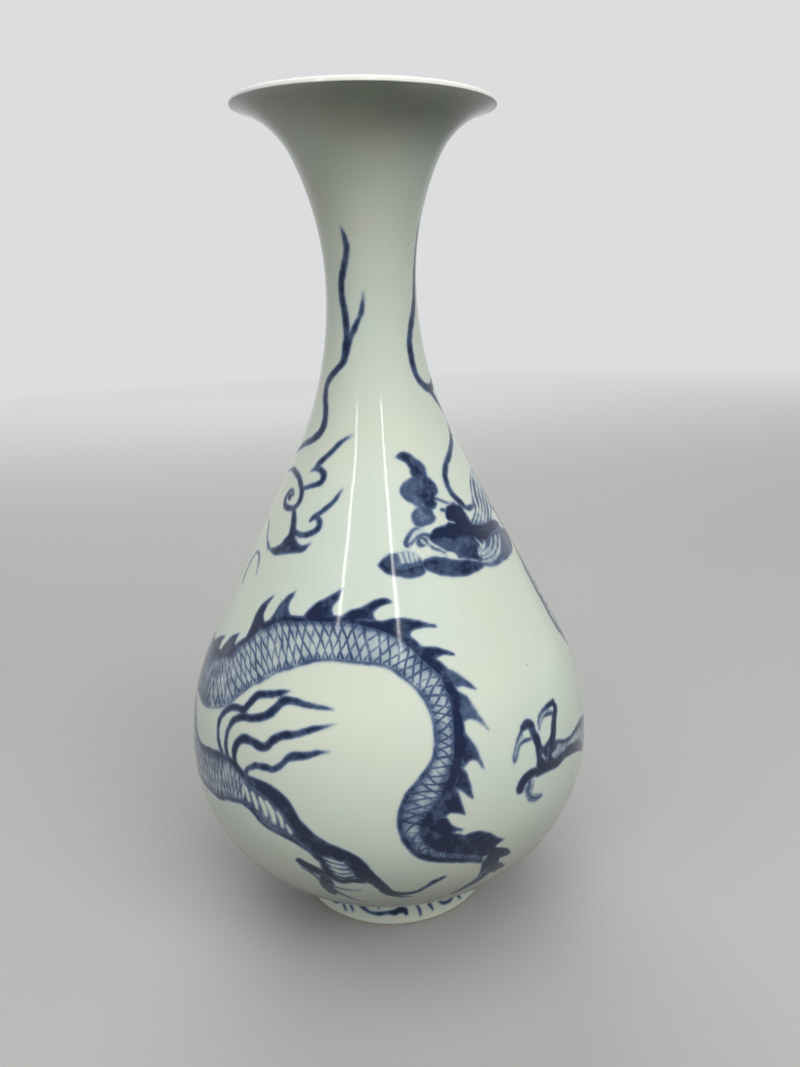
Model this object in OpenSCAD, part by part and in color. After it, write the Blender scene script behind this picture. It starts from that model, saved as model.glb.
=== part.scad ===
// Pear-shaped bottle vase with a trumpet mouth, thrown in sections, luted with slip and glazed.
// Millimetres, +Z up. The origin is the centre of the ring that the vase stands on.
// Every face is a turned one: the outline is a chain of arcs that run into each other without a corner,
// and the wall, the slip and the coats of glaze are drawn as insets from that one outline.

/* [Overall] */
// Height from the standing ring to the top of the lip
height = 300; // [250:1:350]
// Full thickness of the wall, both coats of glaze included
wall = 3.8; // [2.8:0.1:5.6]
// Thickness of a coat of glaze
glaze_t = 0.4; // [0.2:0.05:0.7]
// Thickness of the slip between two luted sections
slip_t = 0.6; // [0.3:0.05:1.2]

/* [Belly] */
// Diameter at the widest place
belly_d = 158.8; // [130:0.2:176]
// Height of the widest place, where the two halves of the belly are luted
belly_z = 69.5; // [60:0.5:90]
// Height of the upper half of the belly
upper_belly_h = 95.5; // [70:0.5:105]
// Length of the straight slope between the belly's round and the neck's sweep
slope_l = 81; // [50:1:100]
// Part of the shoulder's bend that the belly's round takes, the rest being the neck's sweep
belly_bend = 0.4; // [0.25:0.01:0.6]

/* [Neck and mouth] */
// Height of the shoulder section, up to its joint with the neck
shoulder_h = 42; // [30:0.5:50]
// Diameter at the neck's narrowest place
neck_d = 32.4; // [26:0.2:42]
// Distance from the top of the lip down to the neck's narrowest place
neck_drop = 56.5; // [45:0.5:70]
// Diameter of the mouth over its lip
mouth_d = 89.5; // [74:0.5:104]
// Lean of the wall where the neck's throat passes into the flare, from upright
throat_angle = 26; // [14:0.5:32]
// Lean of the wall under the lip, from upright
lip_angle = 76; // [60:0.5:84]
// Thickness of the lip, to which the wall thins over the flare
lip_t = 2.2; // [1.6:0.1:3.6]

/* [Foot] */
// Diameter of the foot just above its bevelled edge
foot_d = 80; // [70:0.5:92]
// How much the foot draws in on each side, up to where it meets the belly
foot_taper = 3.5; // [2:0.1:5]
// Thickness of the foot at its base
foot_wall = 7; // [5:0.1:10]
// Height of the foot
foot_h = 14; // [9:0.5:18]
// Bevel round the outer edge of the foot
foot_bevel = 1.4; // [0.6:0.1:2.4]
// How much the recess under the base narrows on each side towards the base
well_draft = 1.5; // [0:0.1:3]
// Bevel round the inner edge of the foot
well_bevel = 0.8; // [0.4:0.1:1.6]
// Thickness of the base, both coats of glaze included
base_t = 6.5; // [4:0.1:10]
// Bare height left above the bevels, where the glaze is wiped off
wiped_h = 0.6; // [0.2:0.1:2]

/* [Hidden] */
$fn = 180;
// Furthest that a chord of the outline lies from its arc
chord_gap = 0.03;

belly_r = belly_d / 2;
neck_r = neck_d / 2;
neck_z = height - neck_drop;
foot_r = foot_d / 2;
foot_top_r = foot_r - foot_taper;
well_r = foot_r - foot_wall;

// Joints between the sections, each a level ring of slip
shoulder_joint_z = belly_z + upper_belly_h;
neck_joint_z = shoulder_joint_z + shoulder_h;

// Lower belly: one arc, upright at the widest place, that ends on the foot's upper edge
low_step = belly_r - foot_top_r;
low_rise = belly_z - foot_h;
low_r = (low_step * low_step + low_rise * low_rise) / (2 * low_step);
low_c = belly_r - low_r;

// Shoulder: a round, a straight slope and a hollow sweep, upright at the widest place and at the neck
step_in = belly_r - neck_r;
rise = neck_z - belly_z;
bend_r = (rise * rise + step_in * step_in - slope_l * slope_l) / (2 * step_in);
round_r = bend_r * belly_bend;
sweep_r = bend_r - round_r;
slope_angle = atan2(rise, bend_r - step_in) - atan2(slope_l, bend_r);
round_c = belly_r - round_r;
sweep_c = neck_r + sweep_r;

// Mouth: a long throat arc and a tight flare arc that end square to the round of the lip
lip_r = lip_t / 2;
lip_c = [mouth_d / 2 - lip_r, height - lip_r];
spread = lip_c.x + lip_r * cos(lip_angle) - neck_r;
climb = lip_c.y - lip_r * sin(lip_angle) - neck_z;
throat_x = 1 - cos(throat_angle);
throat_y = sin(throat_angle);
flare_x = cos(throat_angle) - cos(lip_angle);
flare_y = sin(lip_angle) - sin(throat_angle);
cross = throat_x * flare_y - flare_x * throat_y;
throat_r = (spread * flare_y - flare_x * climb) / cross;
flare_r = (throat_x * climb - spread * throat_y) / cross;
throat_c = neck_r + throat_r;
flare_c = [
    throat_c + (flare_r - throat_r) * cos(throat_angle),
    neck_z + (throat_r - flare_r) * sin(throat_angle)
];

// Lowest level of the glaze on the outer and the inner face of the foot
outer_glaze_z = foot_bevel + wiped_h;
well_glaze_z = well_bevel + wiped_h;

// Points of an arc about c, without its first one, in chords that stay within chord_gap of it
function steps(r, turn) = max(2, ceil(abs(turn) / (2 * acos(1 - chord_gap / r))));
function arc(c, r, from, to) =
    let (n = steps(r, to - from))
    [for (i = [1:n]) let (a = from + (to - from) * i / n) c + r * [cos(a), sin(a)]];

// The outline from level z up to the lip, moved into the wall by d
function low_turn(d, z) = asin(min(1, (belly_z - z) / (low_r - d)));
function low_start(d, z) = [low_c, belly_z] + (low_r - d) * [cos(low_turn(d, z)), -sin(low_turn(d, z))];
function face(d, z) = concat(
    [low_start(d, z)],
    arc([low_c, belly_z], low_r - d, -low_turn(d, z), 0),
    arc([round_c, belly_z], round_r - d, 0, slope_angle),
    [sweep_start(d)],
    arc([sweep_c, neck_z], sweep_r + d, 180 + slope_angle, 180),
    arc([throat_c, neck_z], throat_r + d, 180, 180 - throat_angle),
    flare(d)
);
function sweep_start(d) = [sweep_c, neck_z] - (sweep_r + d) * [cos(slope_angle), sin(slope_angle)];

// The flare, whose inner face draws in to the lip's thickness without a corner at either end
function thinning(d) = d > wall / 2 ? wall - lip_t : 0;
function flare_at(d, t) =
    let (a = 180 - throat_angle - (lip_angle - throat_angle) * t)
    flare_c + (flare_r + d - thinning(d) * t * t * (3 - 2 * t)) * [cos(a), sin(a)];
function flare(d) =
    let (n = steps(flare_r + d, lip_angle - throat_angle))
    [for (i = [1:n]) flare_at(d, i / n)];
function flare_end(d) = flare_at(d, 1);

// Half round that closes the wall at the lip, from its outer to its inner face, without its two ends
function lip(d) =
    let (points = arc(lip_c, lip_r - d, -lip_angle, 180 - lip_angle))
    [for (i = [0:len(points) - 2]) points[i]];

function reversed(points) = [for (i = [len(points) - 1:-1:0]) points[i]];

// Level of the floor inside, with d of the wall's thickness left to come off
function floor_z(d) = foot_h + base_t - wall + d;

// Faces of the foot at level z, with d of glaze on them
function foot_face(z, d) = foot_r - d - foot_taper * (z - foot_bevel) / (foot_h - foot_bevel);
function well_face(z, d) = well_r + d - well_draft * z / foot_h;

// Half section of the bare porcelain between two levels
module bare_wall(z0, z1) {
    inner = wall - glaze_t;
    intersection() {
        polygon(concat(
            [[0, foot_h]],
            face(glaze_t, foot_h),
            lip(glaze_t),
            reversed(face(inner, floor_z(inner))),
            [[0, floor_z(inner)]]
        ));
        translate([0, z0])
            square([belly_d, z1 - z0]);
    }
}

// A thrown section from one joint to the next, less half the slip at each end
module thrown(z0, z1, slip0, slip1) {
    color("whitesmoke")
        rotate_extrude()
            bare_wall(z0 + slip0 / 2, z1 - slip1 / 2);
}

// The ring of slip at a joint in the wall
module luted(z) {
    color("linen")
        rotate_extrude()
            bare_wall(z - slip_t / 2, z + slip_t / 2);
}

module foot_ring() {
    top = foot_h - slip_t;
    color("antiquewhite")
        rotate_extrude()
            polygon([
                [well_face(top, glaze_t), top],
                [foot_face(top, glaze_t), top],
                [foot_face(foot_bevel, glaze_t), foot_bevel],
                [foot_face(foot_bevel, glaze_t) - foot_bevel, 0],
                [well_face(well_bevel, glaze_t) + well_bevel, 0],
                [well_face(well_bevel, glaze_t), well_bevel]
            ]);
}

module lower_belly() {
    thrown(foot_h, belly_z, 0, slip_t);
}

module upper_belly() {
    thrown(belly_z, shoulder_joint_z, slip_t, slip_t);
}

module shoulder() {
    thrown(shoulder_joint_z, neck_joint_z, slip_t, slip_t);
}

module neck_and_mouth() {
    thrown(neck_joint_z, height, slip_t, 0);
}

module foot_seam() {
    under = foot_h - slip_t;
    color("linen")
        rotate_extrude()
            polygon([
                [well_face(under, glaze_t), under],
                [foot_face(under, glaze_t), under],
                [foot_face(foot_h, glaze_t), foot_h],
                [well_face(foot_h, glaze_t), foot_h]
            ]);
}

module belly_seam() {
    luted(belly_z);
}

module shoulder_seam() {
    luted(shoulder_joint_z);
}

module neck_seam() {
    luted(neck_joint_z);
}

// From the wiped line on the foot, over the belly and the neck, and round the lip
module outer_glaze() {
    color("#cdd8cf")
        rotate_extrude()
            polygon(concat(
                [[foot_face(outer_glaze_z, 0), outer_glaze_z]],
                face(0, foot_h),
                lip(0),
                [flare_end(wall), flare_end(wall - glaze_t)],
                reversed(lip(glaze_t)),
                reversed(face(glaze_t, foot_h)),
                [[foot_face(foot_h, glaze_t), foot_h]],
                [[foot_face(outer_glaze_z, glaze_t), outer_glaze_z]]
            ));
}

// From the inner edge of the lip down over the floor
module inner_glaze() {
    outer = wall - glaze_t;
    color("#d6ded6")
        rotate_extrude()
            polygon(concat(
                [[0, floor_z(outer)]],
                face(outer, floor_z(outer)),
                reversed(face(wall, floor_z(wall))),
                [[0, floor_z(wall)]]
            ));
}

// Over the base and the inner face of the foot, down to the wiped line
module base_glaze() {
    under = foot_h - glaze_t;
    color("#d2dad0")
        rotate_extrude()
            polygon([
                [0, foot_h],
                [well_face(foot_h, glaze_t), foot_h],
                [well_face(well_glaze_z, glaze_t), well_glaze_z],
                [well_face(well_glaze_z, 0), well_glaze_z],
                [well_face(under, 0), under],
                [0, under]
            ]);
}

foot_ring();
lower_belly();
upper_belly();
shoulder();
neck_and_mouth();
foot_seam();
belly_seam();
shoulder_seam();
neck_seam();
outer_glaze();
inner_glaze();
base_glaze();
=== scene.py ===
"""Looks of a pear-shaped bottle vase: its glaze with the brush painting under it, the bare foot and the stage."""

import math

import bpy
import numpy as np
from mathutils import Matrix, Vector


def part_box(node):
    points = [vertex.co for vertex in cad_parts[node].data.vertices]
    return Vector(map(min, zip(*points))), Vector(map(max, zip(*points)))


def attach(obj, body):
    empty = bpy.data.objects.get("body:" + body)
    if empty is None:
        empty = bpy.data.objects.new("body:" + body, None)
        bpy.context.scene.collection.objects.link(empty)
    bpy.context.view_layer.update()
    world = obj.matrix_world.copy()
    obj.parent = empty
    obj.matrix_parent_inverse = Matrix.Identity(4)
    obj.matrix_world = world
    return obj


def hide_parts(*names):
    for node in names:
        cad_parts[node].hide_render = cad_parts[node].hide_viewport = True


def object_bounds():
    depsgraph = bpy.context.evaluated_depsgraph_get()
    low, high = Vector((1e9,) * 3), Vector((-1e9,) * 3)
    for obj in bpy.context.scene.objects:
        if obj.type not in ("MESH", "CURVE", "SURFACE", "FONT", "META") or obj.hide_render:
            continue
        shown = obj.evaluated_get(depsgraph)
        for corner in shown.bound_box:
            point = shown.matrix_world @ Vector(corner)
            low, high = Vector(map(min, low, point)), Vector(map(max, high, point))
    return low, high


bl_info = {
    "name": "Blue-and-white bottle vase",
    "version": (1, 0, 0),
    "blender": (4, 5, 0),
    "location": "3D View > Sidebar > Vase",
    "description": "Turns the coats of glaze, brushes the cobalt painting and sets the stage",
    "category": "Object",
}

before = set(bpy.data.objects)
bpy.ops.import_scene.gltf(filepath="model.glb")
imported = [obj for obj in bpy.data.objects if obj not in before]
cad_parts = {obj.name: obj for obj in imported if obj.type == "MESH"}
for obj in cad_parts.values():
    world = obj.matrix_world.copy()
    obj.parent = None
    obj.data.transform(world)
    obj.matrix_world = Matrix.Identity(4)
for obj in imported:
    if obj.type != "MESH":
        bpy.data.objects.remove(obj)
CAD_LOW, CAD_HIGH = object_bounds()
MM = 0.001


def linear(text):
    """An sRGB hex colour as linear red, green and blue."""
    parts = [int(text[i : i + 2], 16) / 255 for i in (1, 3, 5)]
    return tuple(c / 12.92 if c <= 0.04045 else ((c + 0.055) / 1.055) ** 2.4 for c in parts)


def seam_level(node):
    low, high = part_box(node)
    return (low.z + high.z) / 2


class VaseSizes(bpy.types.PropertyGroup):
    """Sizes of the turned form: the CAD model's, but for the settled mouth and the foot's edge."""

    height: bpy.props.FloatProperty(
        name="Height", description="From the standing ring to the top of the lip",
        default=CAD_HIGH.z, unit="LENGTH")
    wall: bpy.props.FloatProperty(
        name="Wall", description="Thickness of the wall with both coats of glaze", default=3.8 * MM, unit="LENGTH")
    glaze: bpy.props.FloatProperty(
        name="Glaze", description="Thickness of a coat of glaze", default=0.4 * MM, unit="LENGTH")
    belly_d: bpy.props.FloatProperty(
        name="Belly", description="Diameter at the widest place", default=CAD_HIGH.x - CAD_LOW.x, unit="LENGTH")
    belly_z: bpy.props.FloatProperty(
        name="Belly's level", description="Height of the widest place",
        default=seam_level("belly_seam"), unit="LENGTH")
    slope: bpy.props.FloatProperty(
        name="Slope", description="Length of the straight slope above the belly", default=81 * MM, unit="LENGTH")
    belly_bend: bpy.props.FloatProperty(
        name="Belly's bend", description="Part of the shoulder's bend that the belly's round takes",
        default=0.4, min=0.1, max=0.9)
    neck_d: bpy.props.FloatProperty(
        name="Neck", description="Diameter at the narrowest place", default=32.4 * MM, unit="LENGTH")
    neck_drop: bpy.props.FloatProperty(
        name="Neck's drop", description="From the top of the lip down to the narrowest place",
        default=56.5 * MM, unit="LENGTH")
    mouth_d: bpy.props.FloatProperty(
        name="Mouth", description="Diameter over the lip",
        default=2 * (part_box("neck_and_mouth")[1].x + 0.4 * MM), unit="LENGTH")
    throat_lean: bpy.props.FloatProperty(
        name="Throat's lean", description="Lean of the wall where the throat passes into the flare",
        default=math.radians(26), subtype="ANGLE")
    lip_lean: bpy.props.FloatProperty(
        name="Lip's lean", description="Lean of the wall under the lip", default=math.radians(76), subtype="ANGLE")
    lip: bpy.props.FloatProperty(
        name="Lip", description="Thickness of the lip, to which the wall thins over the flare",
        default=2.2 * MM, unit="LENGTH")
    mouth_lean: bpy.props.FloatProperty(
        name="Mouth's lean", description="How far the mouth's plane dips, where the form settled in the fire",
        default=math.radians(3.2), subtype="ANGLE")
    dip_lean: bpy.props.FloatProperty(
        name="Dip's side", description="Where the mouth dips, as an angle from the front to the right",
        default=math.radians(29), subtype="ANGLE")
    mouth_rise: bpy.props.FloatProperty(
        name="Mouth's rise", description="How far the middle of the mouth rises with its far side",
        default=1.45 * MM, unit="LENGTH")
    foot_d: bpy.props.FloatProperty(
        name="Foot", description="Diameter of the foot above its bevelled edge", default=80.4 * MM, unit="LENGTH")
    foot_taper: bpy.props.FloatProperty(
        name="Foot's taper", description="How much the foot draws in on each side", default=3.5 * MM, unit="LENGTH")
    foot_wall: bpy.props.FloatProperty(
        name="Foot's wall", description="Thickness of the foot at its base", default=7 * MM, unit="LENGTH")
    foot_h: bpy.props.FloatProperty(
        name="Foot's height", description="From the standing ring to the belly",
        default=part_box("foot_seam")[1].z, unit="LENGTH")
    foot_bevel: bpy.props.FloatProperty(
        name="Outer bevel", description="Bevel round the outer edge of the foot", default=0.6 * MM, unit="LENGTH")
    well_bevel: bpy.props.FloatProperty(
        name="Inner bevel", description="Bevel round the inner edge of the foot", default=0.8 * MM, unit="LENGTH")
    well_draft: bpy.props.FloatProperty(
        name="Well's draft", description="How much the recess narrows on each side", default=1.5 * MM, unit="LENGTH")
    base: bpy.props.FloatProperty(
        name="Base", description="Thickness of the base with both coats of glaze", default=6.5 * MM, unit="LENGTH")
    wiped: bpy.props.FloatProperty(
        name="Wiped band", description="Bare height above the foot's bevels", default=0.4 * MM, unit="LENGTH")


class VaseColours(bpy.types.PropertyGroup):
    """Colours of the glaze, the cobalt, the bare clay and the stage."""

    glaze: bpy.props.FloatVectorProperty(
        name="Glaze", description="Pale green white of the glaze", default=linear("#D2DDD0"), subtype="COLOR")
    glaze_warm: bpy.props.FloatVectorProperty(
        name="Warm glaze", description="Yellower clouds in the glaze", default=linear("#D7DDCB"), subtype="COLOR")
    # the lip's white is partly body showing through thin glaze and partly a painted highlight on the lip's round
    lip: bpy.props.FloatVectorProperty(
        name="Lip", description="White body that shows where the glaze has drained off the lip",
        default=linear("#EDEEE8"), subtype="COLOR")
    cobalt_thin: bpy.props.FloatVectorProperty(
        name="Thin cobalt", description="A thin wash of cobalt", default=linear("#8FA2B9"), subtype="COLOR")
    cobalt: bpy.props.FloatVectorProperty(
        name="Cobalt", description="A full brush of cobalt", default=linear("#485C7B"), subtype="COLOR")
    cobalt_thick: bpy.props.FloatVectorProperty(
        name="Thick cobalt", description="Heaped cobalt, nearly black", default=linear("#071B3F"), subtype="COLOR")
    clay: bpy.props.FloatVectorProperty(
        name="Bare clay", description="Fired clay of the foot", default=linear("#D6CDB9"), subtype="COLOR")
    clay_toasted: bpy.props.FloatVectorProperty(
        name="Toasted clay", description="Clay at the glaze's edge", default=linear("#A9794E"), subtype="COLOR")
    floor: bpy.props.FloatVectorProperty(
        name="Floor", description="Pale floor round the vase", default=linear("#ABABA9"), subtype="COLOR")
    backdrop: bpy.props.FloatVectorProperty(
        name="Backdrop", description="Paler backdrop that the floor runs into",
        default=linear("#DCDDDE"), subtype="COLOR")


class Wall:
    """The outline as arcs that run into each other, in millimetres; s is the way up the wall from the foot's top."""

    # spacing of the line's points, reach of the pool over the foot, height of the bead and radii of the lip's edge
    FINE = 0.1
    FILLET = 1.3
    BEAD = 0.5
    EDGE_UNDER, EDGE_OVER = 0.3, 1.4
    # how near the lip's middle it is whitened, where the glaze drained thin and as a painted highlight on its round,
    # and over how much it comes back
    DRAINED, DRAINED_FADE = 3.2, 1.8
    # points of the line on the glaze's bead, up the foot, in the pool over it and in each round of the lip's edge
    BEAD_POINTS, FOOT_POINTS, POOL_POINTS, ROUND_POINTS = 8, 118, 24, 30
    # the lip's points, with the last one under it
    RIM = 2 * ROUND_POINTS

    def __init__(self, sizes):
        for name in VaseSizes.__annotations__:
            value = getattr(sizes, name)
            angle = name.endswith("lean")
            setattr(self, name, value if angle or name == "belly_bend" else value / MM)
        belly_r, neck_r = self.belly_d / 2, self.neck_d / 2
        self.foot_r = self.foot_d / 2
        self.well_r = self.foot_r - self.foot_wall
        neck_z = self.height - self.neck_drop
        low_step = belly_r - (self.foot_r - self.foot_taper)
        low_rise = self.belly_z - self.foot_h
        low_r = (low_step**2 + low_rise**2) / (2 * low_step)
        step, rise = belly_r - neck_r, neck_z - self.belly_z
        bend = (rise**2 + step**2 - self.slope**2) / (2 * step)
        lean = math.atan2(rise, bend - step) - math.atan2(self.slope, bend)
        round_r = bend * self.belly_bend
        sweep_r = bend - round_r
        self.lip_r = self.lip / 2
        self.lip_c = np.array([self.mouth_d / 2 - self.lip_r, self.height - self.lip_r])
        throat, lip = self.throat_lean, self.lip_lean
        spread = self.lip_c[0] + self.lip_r * math.cos(lip) - neck_r
        climb = self.lip_c[1] - self.lip_r * math.sin(lip) - neck_z
        radii = np.linalg.solve(
            [[1 - math.cos(throat), math.cos(throat) - math.cos(lip)],
             [math.sin(throat), math.sin(lip) - math.sin(throat)]], [spread, climb])
        throat_r, flare_r = radii
        throat_c = neck_r + throat_r
        flare_c = (throat_c + (flare_r - throat_r) * math.cos(throat),
                   neck_z + (throat_r - flare_r) * math.sin(throat))
        # centre, radius, turn from and to, and what an inset does to the radius
        self.arcs = [
            ((belly_r - low_r, self.belly_z), low_r, None, 0, -1),
            ((belly_r - round_r, self.belly_z), round_r, 0, lean, -1),
            ((neck_r + sweep_r, neck_z), sweep_r, math.pi + lean, math.pi, 1),
            ((throat_c, neck_z), throat_r, math.pi, math.pi - throat, 1),
            (flare_c, flare_r, math.pi - throat, math.pi - lip, 1),
        ]
        outer = self.face(0, self.foot_h)
        corner = outer[0]
        # the glaze pools in the corner over the foot
        t = np.linspace(0, 1, self.POOL_POINTS)[:, None]
        below = np.array([self.foot_face(self.foot_h - self.FILLET), self.foot_h - self.FILLET])
        above = outer[int(self.FILLET / self.FINE)]
        pool = (1 - t) ** 2 * below + 2 * t * (1 - t) * corner + t**2 * above
        edge_z = self.foot_bevel + self.wiped
        self.bead = np.array([self.foot_face(edge_z) - self.glaze, edge_z])
        turn = np.linspace(-math.pi / 2, 0, self.BEAD_POINTS)[:, None]
        rise = np.hstack([np.cos(turn) * self.glaze, (1 + np.sin(turn)) * self.BEAD])
        bead = self.bead + rise
        bead[:, 0] -= self.foot_taper * (bead[:, 1] - edge_z) / (self.foot_h - self.foot_bevel)
        up = np.linspace(0, 1, self.FOOT_POINTS + 2)[1:-1, None]
        foot = bead[-1] + up * (below - bead[-1])
        # the lip's edge has a tight round under it and a wide one over it
        quarter = np.linspace(0, math.pi / 2, self.ROUND_POINTS)
        under, over = self.EDGE_UNDER, self.EDGE_OVER
        edge = np.vstack([
            np.stack([self.lip_r - under + under * np.sin(quarter), under - self.lip_r - under * np.cos(quarter)], 1),
            np.stack([self.lip_r - over + over * np.cos(quarter),
                      self.lip_r - over + over * np.sin(quarter)], 1)])[1:]
        lip_line = self.lip_c + edge @ np.array([[math.sin(lip), math.cos(lip)], [-math.cos(lip), math.sin(lip)]])
        line = np.vstack([bead, foot, pool, outer[int(self.FILLET / self.FINE) + 1 :], lip_line])
        length = np.concatenate([[0], np.cumsum(np.hypot(*np.diff(line, axis=0).T))])
        self.line = line
        self.s = length - np.interp(self.foot_h, line[: -self.RIM, 1], length[: -self.RIM])
        along = np.gradient(line, self.s, axis=0)
        along /= np.linalg.norm(along, axis=1)[:, None]
        self.normal = np.stack([along[:, 1], -along[:, 0]], 1)
        self.flare_s = self.s[-self.RIM]

    def face(self, inset, z):
        """Points from level z up to the lip, moved into the wall by an inset."""
        runs = []
        for centre, radius, start, end, way in self.arcs:
            radius += way * inset
            if start is None:
                start = -math.asin(min(1, (centre[1] - z) / radius))
            count = max(3, int(abs(end - start) * radius / self.FINE))
            turn = np.linspace(start, end, count)
            runs.append(np.array(centre) + radius * np.stack([np.cos(turn), np.sin(turn)], 1))
        if inset > self.wall / 2:
            # the inner face of the flare, the last run, draws in to the lip's thickness
            t = np.linspace(0, 1, count)[:, None]
            runs[-1] -= (self.wall - self.lip) * t**2 * (3 - 2 * t) * np.stack([np.cos(turn), np.sin(turn)], 1)
        slope = np.linspace(runs[1][-1], runs[2][0], int(self.slope / self.FINE))
        runs.insert(2, slope)
        return np.vstack([runs[0]] + [run[1:] for run in runs[1:]])

    def foot_face(self, z):
        return self.foot_r - self.foot_taper * (z - self.foot_bevel) / (self.foot_h - self.foot_bevel)

    def well_face(self, z):
        return self.well_r - self.well_draft * z / self.foot_h

    def floor(self, left):
        """Level of the floor inside, with part of the wall's thickness left to come off."""
        return self.foot_h + self.base - self.wall + left

    def drained(self, co):
        """How far the lip is whitened at points near it, from 0 to 1: the glaze drained thin there, and a painted
        highlight on its round.
        """
        off = np.hypot(np.hypot(co[:, 0], co[:, 1]) - self.lip_c[0], co[:, 2] - self.lip_c[1])
        return np.clip((self.DRAINED - off) / self.DRAINED_FADE, 0, 1)

    def up(self, z):
        """How far up the wall a level below the lip is."""
        return np.interp(z, self.line[: -self.RIM, 1], self.s[: -self.RIM])

    def at(self, angle, s):
        """Points on the glaze at angles in degrees from the front and at distances up the wall."""
        turn = np.radians(angle)
        r = np.interp(s, self.s, self.line[:, 0])
        return np.stack([r * np.sin(turn), -r * np.cos(turn), np.interp(s, self.s, self.line[:, 1])], -1)


# The painting. A brush run is given as rows of angle from the front (degrees, right is +), distance up the wall
# from the foot's top (mm) and width (mm). A filled shape is a chain of runs of angle and distance that share their
# ends. A mark is its kind, its layer, its strength and its run or chain; a gap spares the glaze in the strokes under
# it.

NECK_TENDRILS = (
    ((-31, 279.5, 0.5), (-28, 276, 1.4), (-27.5, 272, 1.7), (-32, 268, 1.9), (-38, 263.5, 2.2), (-39.5, 260, 2.3),
     (-38, 256, 2.2), (-34, 251, 2.3), (-31.5, 245, 2.5), (-32, 240, 2.7), (-34.5, 236, 2.2), (-42, 233, 2.0),
     (-50, 230.5, 2.3), (-55.5, 227.5, 2.7), (-54.5, 223, 2.5), (-50, 218.5, 2.5), (-48, 214, 2.7), (-50, 210.5, 2.9),
     (-57, 207.5, 2.6), (-66, 205.5, 2.3), (-74, 203.5, 2.2), (-80, 201.6, 2.1), (-92, 198.5, 2.2),
     (-104, 198.5, 2.0),
     (-115, 202, 1.6), (-121, 206.5, 0.6)),
    ((-32.5, 238, 2.2), (-27, 243.5, 2.0), (-21, 247.5, 1.6), (-14.5, 251, 1.3), (-12, 254, 1.1), (-10, 258.5, 0.4)),
    ((73.5, 281, 0.5), (74, 275, 1.6), (73, 268, 2.0), (69, 260, 2.3), (64, 254, 2.5), (55, 249, 2.6),
     (48, 244.5, 2.4),
     (44.5, 239, 2.3), (44.5, 234, 2.3), (47.5, 229, 2.3), (54, 226, 2.4), (62, 224.5, 2.8), (72, 224.8, 2.8),
     (82, 227, 2.4), (95, 231.5, 1.8), (104, 236, 0.5)),
    ((62, 224, 2.0), (70, 221, 2.6), (80, 216, 2.4), (83.5, 211.5, 2.0), (77, 207, 1.9), (66.2, 203.1, 1.8),
     (57.8, 200.4, 1.9), (48.6, 197, 2.0), (43.6, 193.7, 2.0), (42, 190.5, 2.1), (42.5, 186.6, 2.2),
     (46.3, 182.3, 2.2),
     (48.6, 179.9, 1.8), (52, 179.2, 1.7), (55.6, 179.6, 1.0)),
)

CLOUD_STROKES = (
    ((-19, 210.3, 0.4), (-25, 208.6, 1.0), (-30, 206.5, 1.3), (-34, 204, 1.5), (-38, 201.8, 1.7), (-42, 199.6, 1.9),
     (-44.5, 197.4, 1.6)),
    ((-47.3, 196.5, 1.0), (-43.4, 197.3, 1.6), (-39, 197, 2.0), (-35.6, 194.9, 2.0), (-36.8, 192.7, 1.7),
     (-41, 191.5, 1.4), (-46, 190.3, 1.3), (-50, 189.4, 1.3)),
    ((-86, 191.5, 0.5), (-80, 193.4, 1.2), (-74, 194.5, 1.4), (-69, 194.7, 1.5), (-63.5, 194, 1.7), (-58, 193, 1.8),
     (-52.6, 190.6, 1.9), (-49, 187.5, 1.9), (-49, 184.4, 1.8), (-51.6, 182, 1.8), (-57, 181.3, 1.7), (-62, 182, 1.6),
     (-64, 184.4, 1.5), (-62.6, 187, 1.5), (-59.4, 187.8, 1.4), (-57, 186.6, 1.2)),
    ((-61.2, 185.9, 1.8), (-59.4, 185.3, 2.2)),
    ((-51.6, 182, 1.8), (-49, 178.8, 2.2), (-47, 175, 2.8), (-45.7, 171.3, 3.6), (-45, 168.8, 4.0)),
    ((-60.3, 165.3, 1.2), (-65.1, 167.3, 0.8), (-70.2, 170.7, 0.8), (-73.4, 172.8, 0.7), (-77, 173.6, 0.4)),
    ((-45, 173.8, 2.0), (-40, 173.4, 1.8), (-34.5, 174.7, 1.8), (-31.2, 177, 1.9), (-32, 179.6, 1.7),
     (-34.7, 180.6, 1.5), (-37, 179, 0.8)),
    ((-34.7, 180.6, 1.4), (-31.5, 182.5, 1.4), (-27.4, 185, 1.3), (-24.7, 187.2, 1.2), (-23, 189.4, 0.9),
     (-21.5, 190.8, 0.4)),
)
CLOUD_CAP = (
    ((-61, 165.3), (-57, 165.9), (-52.6, 167.8), (-50, 171), (-47, 172.8), (-44.5, 172.8), (-41, 170.4), (-37, 169.9),
     (-33.6, 171.2)),
    ((-33.6, 171.2), (-37, 168), (-43, 166.6), (-49, 165.2), (-55, 164.2), (-61, 165.3)),
)
CURL = ((-62.7, 154.8, 0.6), (-64.8, 158.6, 0.9), (-67.7, 161, 0.9), (-71.4, 161.2, 0.9), (-73.6, 159.9, 0.9),
        (-75.2, 156.7, 0.9), (-75.9, 153.7, 1.0), (-75, 149.7, 1.0), (-73.9, 147.8, 0.5))

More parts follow.
